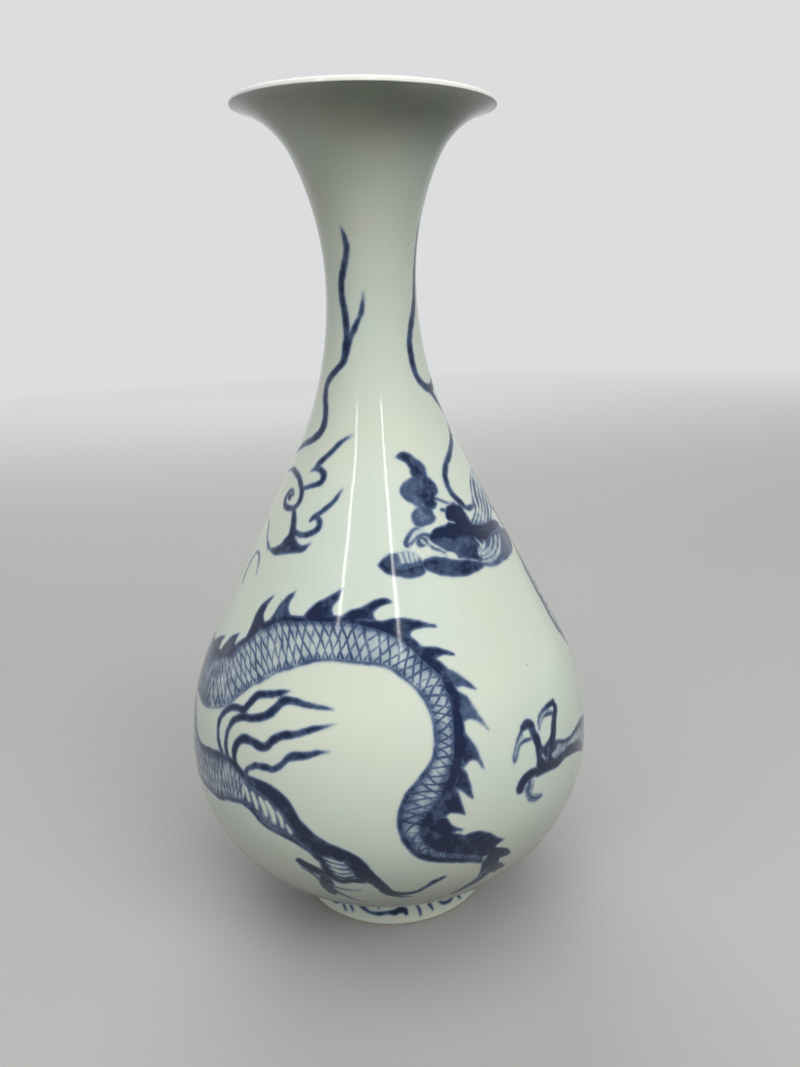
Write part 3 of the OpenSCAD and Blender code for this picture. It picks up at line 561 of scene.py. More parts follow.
HEAD = (
    ("fill", "dark", 0.7, ((11.4, 202.1), (15.3, 203.4), (19.1, 203.2), (22.3, 202.3), (25.4, 200.6), (28.4, 199),
                            (30, 197.1), (29.8, 195.1), (29.6, 192.8)), ((29.6, 192.8), (24.7, 192.8), (20.2, 194)),
     ((20.2, 194), (19.6, 195.7), (19.8, 197.3), (18.7, 198.9), (17.3, 200.1), (14.5, 200.9), (11.4, 202.1))),
    ("fill", "mid", 0.6, ((20.5, 194.6), (15.6, 193.6), (12.3, 192), (10.8, 190.4), (11.5, 188.2), (13.7, 186.4),
                           (16.8, 185.1), (18.9, 183.8), (21.3, 183.6), (24.6, 186.7), (24.6, 190.6), (24.2, 193.6),
                           (20.5, 194.6))),
    ("fill", "dark", 0.69, ((24, 193.8), (28.7, 194), (32, 192), (33.8, 189.7), (32.9, 187.6), (30.6, 186.4),
                            (30.9, 184.6),
                           (28.2, 182.4), (24.4, 182.3), (22.6, 184.3), (22, 187), (23.8, 190.6), (24, 193.8))),
    ("fill", "mid", 0.57, ((20.4, 184.3), (16.5, 182.6), (14.7, 181), (14.7, 179.1), (16.1, 177.5), (18, 176.7),
                           (21.4, 176.7), (25.5, 177.4), (27.8, 178.8), (27.2, 180.7), (25.4, 183.2), (20.4, 184.3))),
    ("fill", "mid", 0.8, ((36.5, 182), (41, 182.1), (45.6, 180.6), (46.5, 178.5), (47.5, 176.1), (48.1, 173.7),
                           (53, 171), (52, 167), (48.1, 164.5), (44.5, 163.4), (45, 160.4), (40.7, 161.8),
                           (36.2, 163.2),
                           (33.1, 163.7), (31.9, 165.8), (28.4, 167.2), (25.2, 169.4), (22.5, 171.1), (21.4, 173),
                           (24.2, 174.3), (26.7, 175.1), (32.4, 175.8), (34.6, 176.9), (33.7, 178.3), (34.2, 180.3),
                           (36.5, 182))),
    ("fill", "dark", 1.02, ((36.5, 182), (41, 182.1), (45.6, 180.6), (46.5, 178.5), (47.5, 176.1), (48.1, 173.7),
                            (52.5, 172.6), (60, 171.8), (69.6, 170.7), (75.4, 168.1), (69.4, 167.2), (60, 167.6),
                            (54, 166.2), (49, 167.8), (44, 169.4), (39, 170.4), (34, 169.6), (30, 170.8), (26, 173),
                            (24, 174.3), (26.7, 175.2), (32.4, 175.9), (34.6, 176.9), (33.7, 178.3), (34.2, 180.3),
                            (36.5, 182))),
    ("fill", "wash", 0.3, ((57, 168), (71, 167), (79, 162.3), (76, 158.8), (65, 158.2), (54.3, 157.8), (45.6, 159.2),
                           (44.5, 161.8), (50.6, 164.6), (57, 168))),
    ("fill", "wash", 0.18, ((78, 190.4), (67, 187.8), (62, 184.6), (57, 180), (53, 176), (48.4, 173.8), (54, 172.6),
                            (62, 171.8), (70, 172.8), (80, 175.4), (88, 179), (90, 184), (85, 188.4), (78, 190.4))),
    ("gap", "", 0, ((28.6, 181.2, 0.9), (31.1, 179.5, 1.0), (33.2, 177.3, 1.2), (37.2, 176, 0.8))),
    ("gap", "", 0, ((31.4, 182.6, 0.7), (33.6, 183.1, 0.7), (35.8, 182.4, 0.6))),
    ("gap", "", 0, ((30.5, 184.8, 0.9), (31.9, 183.3, 0.9), (30, 182, 0.7))),
    ("gap", "", 0, ((26.2, 176.5, 1.0), (28.4, 176.4, 1.6), (30.5, 176.8, 1.0))),
    ("line", "dark", 0.9, ((32.4, 181.2, 1.0), (34.4, 180.8, 1.2))),
    ("line", "dark", 0.75, ((29.6, 186.6, 0.7), (32.4, 185.1, 0.8), (36.9, 183.5, 0.8), (42.4, 182.1, 0.9))),
    ("line", "dark", 0.8, ((18, 176.8, 1.0), (14.5, 175.7, 1.1), (12, 173.8, 1.1), (10.4, 171.8, 1.1),
                           (11.2, 170.8, 0.9),
                           (14, 172, 1.0), (16.1, 173.3, 1.1), (19.2, 173.9, 1.2), (21.6, 173.4, 1.1))),
    ("line", "wash", 0.2, ((12.6, 173.1, 1.0), (16.4, 175.1, 1.5), (19.7, 175.6, 1.2))),
    ("fill", "mid", 0.64, ((15.6, 172.8), (17.6, 173.5), (20.2, 172.9), (20.8, 171.2), (18.4, 169.8), (16, 169.6),
                           (15, 171.2), (15.6, 172.8))),
    ("gap", "", 0, ((17.8, 172.2, 0.6), (19.2, 170.7, 0.7))),
    ("line", "dark", 0.75, ((20.4, 170.9, 0.9), (22.4, 169, 0.9), (24.8, 167.9, 0.9), (27.5, 166.6, 0.9))),
    ("gap", "", 0, ((21.3, 170.4, 0.6), (21.6, 170.1, 0.6))),
    ("gap", "", 0, ((23.4, 169.3, 0.6), (23.8, 169, 0.6))),
    ("gap", "", 0, ((25.6, 168.5, 0.6), (26, 168.2, 0.6))),
    ("fill", "mid", 0.5, ((-1.7, 164.8), (0.9, 167.4), (4, 168.6), (7.4, 169.1), (10.9, 169), (13.9, 168.1),
                          (15.7, 166.5),
                           (16.7, 164.2), (16.5, 161.2), (13.2, 160), (9.5, 159.9), (6.4, 160.6), (1.9, 162),
                           (-1.7, 164.8))),
    ("fill", "dark", 0.74, ((-1.8, 164.8), (0.9, 167.5), (4, 168.6), (5, 166.4), (5, 164), (6.9, 163.1),
                            (10.4, 163.6),
                            (13.8, 163.9), (16.6, 164.2), (16.5, 161.2), (13.2, 160), (9.5, 159.9), (6.4, 160.6),
                            (1.9, 162), (-1.8, 164.8))),
    ("gap", "", 0, ((7.4, 168.2, 0.45), (8.3, 165.4, 0.35))),
    ("gap", "", 0, ((9.8, 168.4, 0.5), (10.5, 165.3, 0.4))),
    ("gap", "", 0, ((12, 168.2, 0.5), (12.4, 165.4, 0.4))),
    ("gap", "", 0, ((14, 167.4, 0.45), (14.2, 165.6, 0.4))),
    ("fill", "dark", 0.71, ((15, 164), (18, 165.4), (22.2, 165.7), (27.4, 164.6), (31.4, 163.3), (38, 162),
                            (44.4, 159.9),
                            (45.8, 158.5), (42.8, 158), (37.2, 157.4), (31.2, 157.5), (25.4, 158.7), (20, 160.7),
                            (16.7, 162.6), (15, 164))),
    ("fill", "mid", 0.6, ((55.5, 168.1), (71.3, 167.3), (80, 162.3), (76.8, 158.4), (65.1, 157.6), (54.3, 157),
                          (44.8, 158.6),
                          (43.5, 161.8), (50.6, 165), (55.5, 168.1))),
    ("line", "dark", 0.7, ((44.3, 159.4, 1.3), (49.2, 157.7, 1.3), (55.8, 157.5, 1.5), (65.7, 157.5, 1.8),
                           (76.1, 158.3, 2.0),
                           (81.1, 161.5, 1.8), (73.2, 166.5, 1.4))),
    ("gap", "", 0, ((58.1, 166.1, 0.7), (54.5, 163.7, 0.9), (50, 162.7, 0.8), (45, 162.5, 0.5))),
    ("gap", "", 0, ((62.8, 165.7, 0.7), (58.3, 162.9, 1.0), (52.6, 161.2, 0.9), (46.2, 161.2, 0.6))),
    ("gap", "", 0, ((67.1, 164.8, 0.7), (60.8, 161.4, 1.0), (54.3, 159.3, 1.0), (48.5, 159.4, 0.8),
                    (44.4, 160.2, 0.4))),
    ("gap", "", 0, ((46.8, 168, 0.5), (48.2, 165.6, 0.7), (45.2, 164.2, 0.5))),
    ("fill", "mid", 0.6, ((79, 191.3), (67, 188.6), (61.4, 185.6), (56.2, 181), (55.6, 177.9), (51.7, 176.1),
                          (46.8, 173.8),
                          (52.4, 172.3), (60.4, 171.1), (68.4, 171.9), (78.8, 174.3), (87.3, 178), (92, 184)),
     ((92, 184), (86, 189), (79, 191.3))),
    ("gap", "", 0, ((79, 190.1, 0.5), (67.3, 187.2, 0.7), (61.4, 182.9, 0.8), (58.9, 178.4, 0.8), (54, 175.6, 0.8),
                    (49.7, 173.7, 0.5))),
    ("gap", "", 0, ((84, 189, 0.5), (77, 187.3, 0.7), (68.1, 183.3, 0.8), (62.8, 178.4, 0.7), (57.4, 175.2, 0.7),
                    (52.4, 172.8, 0.5))),
    ("gap", "", 0, ((87, 187.2, 0.5), (79.4, 185.3, 0.7), (70.9, 181.3, 0.8), (65.9, 177.3, 0.7), (60, 174.4, 0.7),
                    (55.3, 172.1, 0.4))),
    ("gap", "", 0, ((88, 185, 0.5), (80.4, 183, 0.7), (74.8, 179.8, 0.7), (68.7, 176.4, 0.7), (63.6, 173.6, 0.7),
                    (58.7, 171.8, 0.4))),
    ("gap", "", 0, ((89, 182.4, 0.5), (82, 179.4, 0.7), (75, 175.8, 0.7), (68, 173, 0.6), (62.5, 171.6, 0.4))),
)

# the body behind the head and round the back
NECK_TOP = ((80, 173), (92, 172.5), (99, 167), (102, 157), (101, 146), (99.5, 135), (101, 125), (107, 117.5),
            (118, 113),
            (130, 111.5), (144, 114), (158, 121.5), (172, 129), (188, 130), (204, 122.5), (220, 113), (236, 108),
            (252, 110.5),
            (264, 116), (273, 120.4), (277, 120.7))
NECK_UNDER = ((80, 163), (85, 160.5), (84, 155), (80.5, 149), (78.6, 144), (78, 139), (77.8, 134), (77.4, 129),
              (77.4, 124.5), (78.2, 120), (80.4, 115), (84, 108), (88, 101.5), (95, 95.5), (108, 92), (124, 91.5),
              (142, 93.5), (158, 102.5), (172, 110.5), (188, 111.5),
              (204, 103.5), (220, 93.5), (236, 88.5), (252, 91), (263, 96), (272, 101.2), (277, 101.4))

# scrolls on the foot, five times round it
FOOT_SCROLLS = (
    ((-35.8, -3, 0.57), (-34.3, -8, 0.74), (-32.8, -9.8, 0.82), (-31.6, -11.2, 0.41)),
    ((-30.6, -3, 0.57), (-29.3, -7.7, 0.74), (-28, -9.1, 0.82), (-26.8, -10.6, 0.41)),
    ((-24.8, -4, 0.49), (-22.8, -7.1, 0.82), (-20, -8.2, 1.07), (-16.4, -9.3, 1.15), (-11.6, -9.5, 1.07),
     (-5.7, -8.9, 1.07),
     (-1.6, -8.7, 1.72), (1.3, -7.9, 2.05), (4.1, -8.2, 1.8), (4.8, -9.6, 0.9)),
    ((-12.3, -5.2, 0.49), (-11.2, -7.2, 0.57)),
    ((10.2, -3, 0.57), (11.5, -6.6, 0.74), (12.8, -9.1, 0.9), (13.4, -11.3, 0.41)),
    ((16.6, -3, 0.49), (18.4, -7, 0.66), (20, -8.8, 0.82), (20.9, -10.4, 0.41)),
    ((24, -4.5, 0.41), (25.4, -7.5, 0.66), (27.8, -9.3, 0.82), (32.7, -9.7, 0.82), (36.6, -8.2, 0.49)),
    ((25.2, -6.8, 0.41), (29.2, -7.7, 0.49), (33.7, -8.6, 0.49)),
)
FOOT_UNITS = 5
# turn and rise of each cloud and whether it is turned face about, and turn and rise of the leg round the back
CLOUD_PLACES = ((0, 0, False), (250, -16, False), (78, 6, True), (290, -4, False))
BACK_LEG = (122, -4)


class Brush:
    """The painting as signed distances to the brush's edges, in millimetres, less than nothing inside the paint."""

    # how far off paint is measured, step of a run, width given to what is no line, and places along a ribbon
    FAR = 5.0
    STEP = 0.9
    BROAD = 9.0
    PLACES = 120
    LAYERS = ("dark", "mid", "wash")

    def __init__(self, wall):
        self.wall = wall
        self.runs = []
        self.shapes = []
        self.gaps = []
        self.ribbons = []

    def spline(self, points, step=STEP):
        """A smooth run through the given rows, in steps short enough for the brush."""
        p = np.array(points, float)
        p = np.vstack([2 * p[0] - p[1], p, 2 * p[-1] - p[-2]])
        out = []
        for a, b, c, d in zip(p, p[1:], p[2:], p[3:]):
            length = np.linalg.norm(np.diff(self.wall.at(np.array([b[0], c[0]]), np.array([b[1], c[1]])), axis=0))
            t = np.linspace(0, 1, max(2, math.ceil(length / step)), endpoint=False)[:, None]
            out.append(0.5 * (2 * b + (c - a) * t + (2 * a - 5 * b + 4 * c - d) * t**2
                              + (3 * b - a - 3 * c + d) * t**3))
        return np.vstack(out + [p[-2][None]])

    def paint(self, marks, turn=0, rise=0, flip=False):
        """Lays marks, moved round the vase and up it, and turned face about if asked."""
        for kind, layer, tone, *chain in marks:
            chain = [moved(points, turn, rise, flip) for points in chain]
            if kind == "fill":
                line = np.vstack([self.spline(run)[:-1] for run in chain])
                line = np.vstack([line, line[:1]])
                self.shapes.append((layer, tone, line, self.wall.at(line[:, 0], line[:, 1])))
                continue
            run = self.spline(chain[0])
            place, half = self.wall.at(run[:, 0], run[:, 1]), np.maximum(run[:, 2], 0.2) / 2
            if kind == "line":
                self.runs.append((layer, tone, place, half))
            else:
                self.gaps.append((place, half))

    def sides(self, left, right, count):
        """Both edges of a ribbon at as many even places."""
        made = []
        for edge in (left, right):
            run = self.spline(edge, 2.0)
            place = self.wall.at(run[:, 0], run[:, 1])
            length = np.concatenate([[0], np.cumsum(np.linalg.norm(np.diff(place, axis=0), axis=1))])
            want = np.linspace(0, length[-1], count)
            made.append(np.stack([np.interp(want, length, run[:, k]) for k in (0, 1)], 1))
        return made

    def ribbon(self, left, right, scales, count=PLACES):
        """A scaled body between two edges, with its scales' rows along it."""
        left, right = self.sides(left, right, count)
        middle = self.wall.at(*((left + right) / 2).T)
        along = np.concatenate([[0], np.cumsum(np.linalg.norm(np.diff(middle, axis=0), axis=1))])
        rows = np.array(scales)
        pitch, lean, back, wash, gain = (np.interp(along / along[-1], rows[:, 0], rows[:, k]) for k in range(1, 6))
        phase = np.concatenate([[0], np.cumsum(np.diff(along) * 2 / (pitch[1:] + pitch[:-1]))])
        line = np.vstack([left, right[::-1], left[:1]])
        self.ribbons.append((line, [self.wall.at(*edge.T) for edge in (left, right)], middle,
                             np.stack([phase, lean, back, wash, gain], 1)))

    def along(self, tone, left, right, rows):
        """A stroke that follows a ribbon, at a share of the way across it."""
        left, right = self.sides(left, right, self.PLACES)
        rows = np.array(rows, float)
        at = np.arange(self.PLACES) / (self.PLACES - 1)
        at = at[(at >= rows[0, 0]) & (at <= rows[-1, 0])]
        across, width = (np.interp(at, rows[:, 0], rows[:, k])[:, None] for k in (1, 2))
        place = np.rint(at * (self.PLACES - 1)).astype(int)
        self.paint([("line", "dark", tone, np.hstack([left[place] + (right - left)[place] * across, width]))])

    def fins(self, tone, edge, spacing, height):
        """Fins of one kind along an edge, leaning the way it runs."""
        run = self.spline(edge, 1.0)
        place = self.wall.at(run[:, 0], run[:, 1])
        length = np.concatenate([[0], np.cumsum(np.linalg.norm(np.diff(place, axis=0), axis=1))])
        for start in np.arange(spacing / 2, length[-1] - spacing, spacing):
            base = [np.array([np.interp(start + share * spacing, length, run[:, k]) for k in (0, 1)])
                    for share in (0, 0.35, 0.7, 0.9, 1.15)]
            scale = np.array([math.radians(1) * np.hypot(*self.wall.at(*base[0])[:2]), 1])
            way = (base[2] - base[0]) * scale
            out = np.array([-way[1], way[0]]) / np.linalg.norm(way) / scale
            tip = base[4] + out * height
            rising = (base[0], base[1] + out * height * 0.55, base[2] + out * height * 0.8, tip)
            falling = (tip, base[3] + out * height * 0.4, base[3])
            self.paint([("fill", "dark", tone, rising, falling)])

    def near(self, co, run, margin):
        low, high = run.min(0) - margin, run.max(0) + margin
        return np.flatnonzero(((co > low) & (co < high)).all(1))

    def reach(self, co, run, half=0.0):
        """Distance from points to a run less its half width, with the place on the run."""
        half = np.broadcast_to(half, len(run))
        a, ab = run[:-1], np.diff(run, axis=0)
        q = (ab * ab).sum(1) + 1e-9
        best = np.empty(len(co))
        index = np.empty(len(co), int)
        share = np.empty(len(co))
        for part in np.array_split(np.arange(len(co)), len(co) * len(a) // 2_000_000 + 1):
            p = co[part]
            dot = p @ ab.T - (a * ab).sum(1)
            t = np.clip(dot / q, 0, 1)
            square = (p * p).sum(1)[:, None] + (a * a).sum(1) - 2 * p @ a.T - 2 * t * dot + t * t * q
            gap = np.sqrt(np.maximum(square, 0)) - (half[:-1] + t * np.diff(half))
            index[part] = gap.argmin(1)
            rows = np.arange(len(part))
            best[part] = gap[rows, index[part]]
            share[part] = t[rows, index[part]]
        return best, index, share

    def inside(self, angle, s, line):
        """Even-odd test in the plane of angle and distance."""
        middle = (line[:, 0].min() + line[:, 0].max()) / 2
        angle = (angle - middle + 180) % 360 - 180 + middle
        odd = np.zeros(len(angle), bool)
        for (x0, y0), (x1, y1) in zip(line[:, :2], line[1:, :2]):
            if y0 == y1:
                continue
            crosses = (y0 > s) != (y1 > s)
            odd ^= crosses & (angle < (x1 - x0) * (s - y0) / (y1 - y0) + x0)
        return odd

    def measure(self, co):
        """For each point: the three layers' distances and tones, the scales and the nearest line's width."""
        count = len(co)
        angle = np.degrees(np.arctan2(co[:, 0], -co[:, 1]))
        s = self.wall.up(co[:, 2])
        distance = np.full((count, 3), self.FAR)
        tone = np.zeros((count, 3))
        thin = np.full(count, self.BROAD)
        scales = np.zeros((count, 3))
        scales[:, 2] = self.FAR

        def lay(rows, k, d, value, width=self.BROAD):
            nearer = d < distance[rows, k]
            distance[rows[nearer], k] = d[nearer]
            tone[rows[nearer], k] = np.broadcast_to(value, len(rows))[nearer]
            if k < 2:
                thin[rows[nearer]] = np.broadcast_to(width, len(rows))[nearer]

        for line, edges, middle, grain in self.ribbons:
            rows = self.near(co, np.vstack(edges), self.FAR)
            p = co[rows]
            left, right = (self.reach(p, edge)[0] for edge in edges)
            d = np.minimum(left, right)
            d = np.where(self.inside(angle[rows], s[rows], line), -d, d)
            across = (right - left) / (left + right + 1e-6)
            index, share = self.reach(p, middle)[1:]
            phase, lean, back, wash, gain = (grain[index] + share[:, None] * np.diff(grain, axis=0)[index]).T
            nearer = d < scales[rows, 2]
            made = np.stack([phase + across * lean, phase - across * back, d], 1)
            scales[rows[nearer]] = made[nearer]
            lay(rows, 2, d, wash + gain * np.clip(across, 0, 1) ** 1.5)
        for layer, value, run, half in self.runs:
            rows = self.near(co, run, half.max() + self.FAR)
            if len(rows):
                d, index, share = self.reach(co[rows], run, half)
                strength = value * np.clip(0.15 + half[index] * 1.2, 0, 1)
                lay(rows, self.LAYERS.index(layer), d, strength, half[index] * 2)
        for layer, value, line, run in self.shapes:
            rows = self.near(co, run, self.FAR)
            if len(rows):
                d = self.reach(co[rows], run)[0]
                d = np.where(self.inside(angle[rows], s[rows], line), -d, d)
                lay(rows, self.LAYERS.index(layer), d, value)
        for run, half in self.gaps:
            rows = self.near(co, run, half.max() + 1.5)
            if len(rows):
                d = self.reach(co[rows], run, half)[0]
                distance[rows, :2] = np.maximum(distance[rows, :2], -d[:, None])
                thin[rows[d < 1]] = 1.0
        return distance, tone, scales, thin


def moved(points, turn, rise, flip):
    """A run moved round the vase and up it, and turned face about if asked."""
    p = np.array(points, float)
    p[:, 0] = p[:, 0] * (-1 if flip else 1) + turn
    p[:, 1] += rise
    return p


def dragon_and_clouds(wall):
    """The whole painting: what the front shows, and its run round the back in the same hand."""
    brush = Brush(wall)
    brush.ribbon(SPINE, BREAST, BODY_SCALES)
    brush.ribbon(NECK_TOP, NECK_UNDER, BACK_SCALES, 200)
    brush.ribbon(*LEG_EDGES, LEG_SCALES)
    brush.ribbon(*REACH_EDGES, LEG_SCALES)
    brush.along(0.88, SPINE, BREAST, SPINE_SHADE)
    brush.along(0.6, SPINE, BREAST, BREAST_LINE)
    brush.along(0.78, SPINE, BREAST, BREAST_SHADE)
    brush.along(0.9, NECK_TOP, NECK_UNDER, BACK_SPINE)
    brush.along(0.97, NECK_TOP, NECK_UNDER, BACK_BREAST)
    brush.fins(0.9, NECK_TOP, 14, 8)
    for tone, *fin in FINS:
        brush.paint([("fill", "dark", tone, *fin)])
    for marks in (TAIL, MANE, LEG, REACH, HEAD):
        brush.paint(marks)
    brush.paint([("line", "dark", 0.82, points) for points in NECK_TENDRILS + (CURL,)])
    # the same cloud, moved and turned about, fills the space over the back
    cloud = [("line", "dark", 0.82, points) for points in CLOUD_STROKES] + [("fill", "dark", 0.84, *CLOUD_CAP)]
    for place in CLOUD_PLACES:
        brush.paint(cloud, *place)
    brush.paint(REACH, *BACK_LEG)
    brush.ribbon(*(moved(edge, *BACK_LEG, False) for edge in REACH_EDGES), LEG_SCALES)
    for unit in range(FOOT_UNITS):
        brush.paint([("line", "dark", 1.15, points) for points in FOOT_SCROLLS], unit * 360 / FOOT_UNITS)
    return brush


def node(tree, kind, inputs=None, **settings):
    """Adds a node with its settings, and links or sets its inputs."""
    made = tree.nodes.new("ShaderNode" + kind)
    for name, value in settings.items():
        setattr(made, name, value)
    for key, value in (inputs or {}).items():
        if isinstance(value, bpy.types.Node):
            value = value.outputs[0]
        if isinstance(value, bpy.types.NodeSocket):
            tree.links.new(value, made.inputs[key])
        else:
            made.inputs[key].default_value = value
    return made


def material(name):
    """A new material with its node tree and an empty Principled shader."""
    made = bpy.data.materials.new(name)
    made.use_nodes = True
    return made, made.node_tree, made.node_tree.nodes["Principled BSDF"]


def per_metre(millimetres):
    """The scale of a pattern whose features are that many millimetres apart."""
    return 1 / (millimetres * MM)


def glaze_material(name, colours, painted):
    """Lime glaze on porcelain, fired glossy: a deep wet shine, pale green white, with a slow wave and fine peel in
    its face, warm clouds, iron specks and, where it is painted, cobalt that bleeds into it and heaps in spots."""
    made, tree, shader = material(name)
    place = node(tree, "TexCoord").outputs["Object"]
    clouds = node(tree, "TexNoise", {"Vector": place, "Scale": per_metre(55), "Detail": 2})
    warm = node(tree, "MapRange", {"Value": clouds, "From Min": 0.4, "From Max": 0.68})
    body = node(tree, "Mix", {0: warm, 6: (*colours.glaze, 1), 7: (*colours.glaze_warm, 1)}, data_type="RGBA")
    body = body.outputs[2]
    # whiter lip: body through thin glaze, and a painted highlight where the lip's round catches the light
    thin_and_lit_lip = node(tree, "Attribute", attribute_name="drained").outputs["Fac"]
    body = node(tree, "Mix", {0: thin_and_lit_lip, 6: body, 7: (*colours.lip, 1)}, data_type="RGBA").outputs[2]
    cells = node(tree, "TexVoronoi", {"Vector": place, "Scale": per_metre(7)})
    speck = node(tree, "MapRange", {"Value": cells.outputs["Distance"], "From Min": 0.06, "From Max": 0.03})
    chosen = node(tree, "SeparateColor", {0: cells.outputs["Color"]})
    chosen = node(tree, "Math", {0: chosen, 1: 0.84}, operation="GREATER_THAN")
    speck = node(tree, "Math", {0: speck, 1: chosen}, operation="MULTIPLY")
    speck = node(tree, "Math", {0: speck, 1: 0.55}, operation="MULTIPLY")
    body = node(tree, "Mix", {0: speck, 6: body, 7: (*linear("#5A5648"), 1)}, data_type="RGBA").outputs[2]
    if painted:
        body = cobalt(tree, place, body, colours)
    wave = node(tree, "TexNoise", {"Vector": place, "Scale": per_metre(26), "Detail": 1})
    peel = node(tree, "TexNoise", {"Vector": place, "Scale": per_metre(1.6), "Detail": 1})
    bump = node(tree, "Bump", {"Height": wave, "Strength": 1.0, "Distance": 0.14 * MM})
    bump = node(tree, "Bump", {"Height": peel, "Strength": 1.0, "Distance": 0.004 * MM, "Normal": bump})
    tree.links.new(body, shader.inputs["Base Color"])
    tree.links.new(bump.outputs[0], shader.inputs["Normal"])
    shader.inputs["Roughness"].default_value = 0.09
    shader.inputs["IOR"].default_value = 1.5
    return made


def cobalt(tree, place, body, colours):
    """Cobalt under the glaze, read from the brush's distances on the mesh."""
    edges = node(tree, "SeparateXYZ", {0: node(tree, "Attribute", attribute_name="brush").outputs["Vector"]})
    tones = node(tree, "SeparateXYZ", {0: node(tree, "Attribute", attribute_name="tone").outputs["Vector"]})
    scales = node(tree, "SeparateXYZ", {0: node(tree, "Attribute", attribute_name="scales").outputs["Vector"]})
    ragged = node(tree, "TexNoise", {"Vector": place, "Scale": per_metre(3.5), "Detail": 1})
    ragged = node(tree, "MapRange",
                  {"Value": ragged, "From Min": 0.25, "From Max": 0.75, "To Min": -0.16, "To Max": 0.16}, clamp=False)
    ink = None
    for axis, soft in (("X", 1.0), ("Y", 1.0), ("Z", 1.2)):
        edge = node(tree, "Math", {0: edges.outputs[axis], 1: ragged}, operation="ADD")
        cover = node(tree, "MapRange", {"Value": edge, "From Min": soft, "From Max": -soft},
                     interpolation_type="SMOOTHSTEP")
        layer = node(tree, "Math", {0: cover, 1: tones.outputs[axis]}, operation="MULTIPLY")
        ink = layer if ink is None else node(tree, "Math", {0: ink, 1: layer}, operation="MAXIMUM")
    # scales: two families of crossing strokes, thicker and darker where the wash is stronger
    bend = node(tree, "TexNoise", {"Vector": place, "Scale": per_metre(9), "Detail": 1})
    bend = node(tree, "MapRange",
                {"Value": bend, "From Min": 0.25, "From Max": 0.75, "To Min": -0.25, "To Max": 0.25}, clamp=False)
    thick, full = (
        node(tree, "MapRange",
             {"Value": tones.outputs["Z"], "From Min": 0.26, "From Max": 0.5, "To Min": least, "To Max": most})
        for least, most in ((0.36, 0.42), (0.6, 0.78)))
    lines = None
    for axis, light in (("X", 0.85), ("Y", 0.7)):
        way = node(tree, "Math", {0: scales.outputs[axis], 1: bend}, operation="ADD")
        # each stroke has its own strength
        stroke = node(tree, "Math", {0: way}, operation="ROUND")
        stroke = node(tree, "TexWhiteNoise", {"W": stroke}, noise_dimensions="1D")
        stroke = node(tree, "MapRange", {"Value": stroke, "To Min": light, "To Max": 1.05})
        way = node(tree, "Math", {0: way, 1: 0.5}, operation="PINGPONG")
        line = node(tree, "MapRange", {"Value": way, "From Min": thick, "From Max": 0.02},
                    interpolation_type="SMOOTHSTEP")
        line = node(tree, "Math", {0: line, 1: stroke}, operation="MULTIPLY")
        lines = line if lines is None else node(tree, "Math", {0: lines, 1: line}, operation="MAXIMUM")
    within = node(tree, "MapRange", {"Value": scales.outputs["Z"], "From Min": 0.0, "From Max": -0.6})
    lines = node(tree, "Math", {0: lines, 1: within}, operation="MULTIPLY")
    lines = node(tree, "Math", {0: lines, 1: full}, operation="MULTIPLY")
    ink = node(tree, "Math", {0: ink, 1: lines}, operation="MAXIMUM")
    # cobalt that has run a little way into the glaze
    halo = node(tree, "MapRange", {"Value": edges.outputs["X"], "From Min": 2.2, "From Max": 0.0, "To Max": 0.14},
                interpolation_type="SMOOTHSTEP")
    ink = node(tree, "Math", {0: ink, 1: halo}, operation="ADD")
    # strength that comes and goes over a stroke, and pale bubbles over it
    mottle = node(tree, "TexNoise", {"Vector": place, "Scale": per_metre(5), "Detail": 2, "Roughness": 0.5})
    mottle = node(tree, "MapRange", {"Value": mottle, "From Min": 0.3, "From Max": 0.7, "To Min": 0.7, "To Max": 1.2})
    bubble = node(tree, "TexNoise", {"Vector": place, "Scale": per_metre(0.9), "Detail": 0})
    bubble = node(tree, "MapRange",
                  {"Value": bubble, "From Min": 0.68, "From Max": 0.8, "To Min": 1.0, "To Max": 0.88})
    # heaped grains in the broad fills
    deep = node(tree, "Math", {0: edges.outputs["X"], 1: edges.outputs["Y"]}, operation="MINIMUM")
    deep = node(tree, "MapRange", {"Value": deep, "From Min": -0.4, "From Max": -1.6})
    heaps = node(tree, "TexNoise", {"Vector": place, "Scale": per_metre(1.8), "Detail": 2})
    heaps = node(tree, "MapRange",
                 {"Value": heaps, "From Min": 0.35, "From Max": 0.65, "To Min": 0.9, "To Max": 1.14})
    heaps = node(tree, "Mix", {0: deep, 2: 1.0, 3: heaps}, data_type="FLOAT")
    for factor in (mottle, bubble, heaps):
        ink = node(tree, "Math", {0: ink, 1: factor}, operation="MULTIPLY", use_clamp=True)
    ramp = node(tree, "ValToRGB", {0: ink})
    stops = ramp.color_ramp.elements
    stops[0].position, stops[0].color = 0.18, (*colours.cobalt_thin, 1)
    stops[1].position, stops[1].color = 0.95, (*colours.cobalt_thick, 1)
    middle = stops.new(0.55)
    middle.color = (*colours.cobalt, 1)
    cover = node(tree, "MapRange", {"Value": ink, "From Max": 0.5}, interpolation_type="SMOOTHSTEP")
    return node(tree, "Mix", {0: cover, 6: body, 7: ramp}, data_type="RGBA").outputs[2]


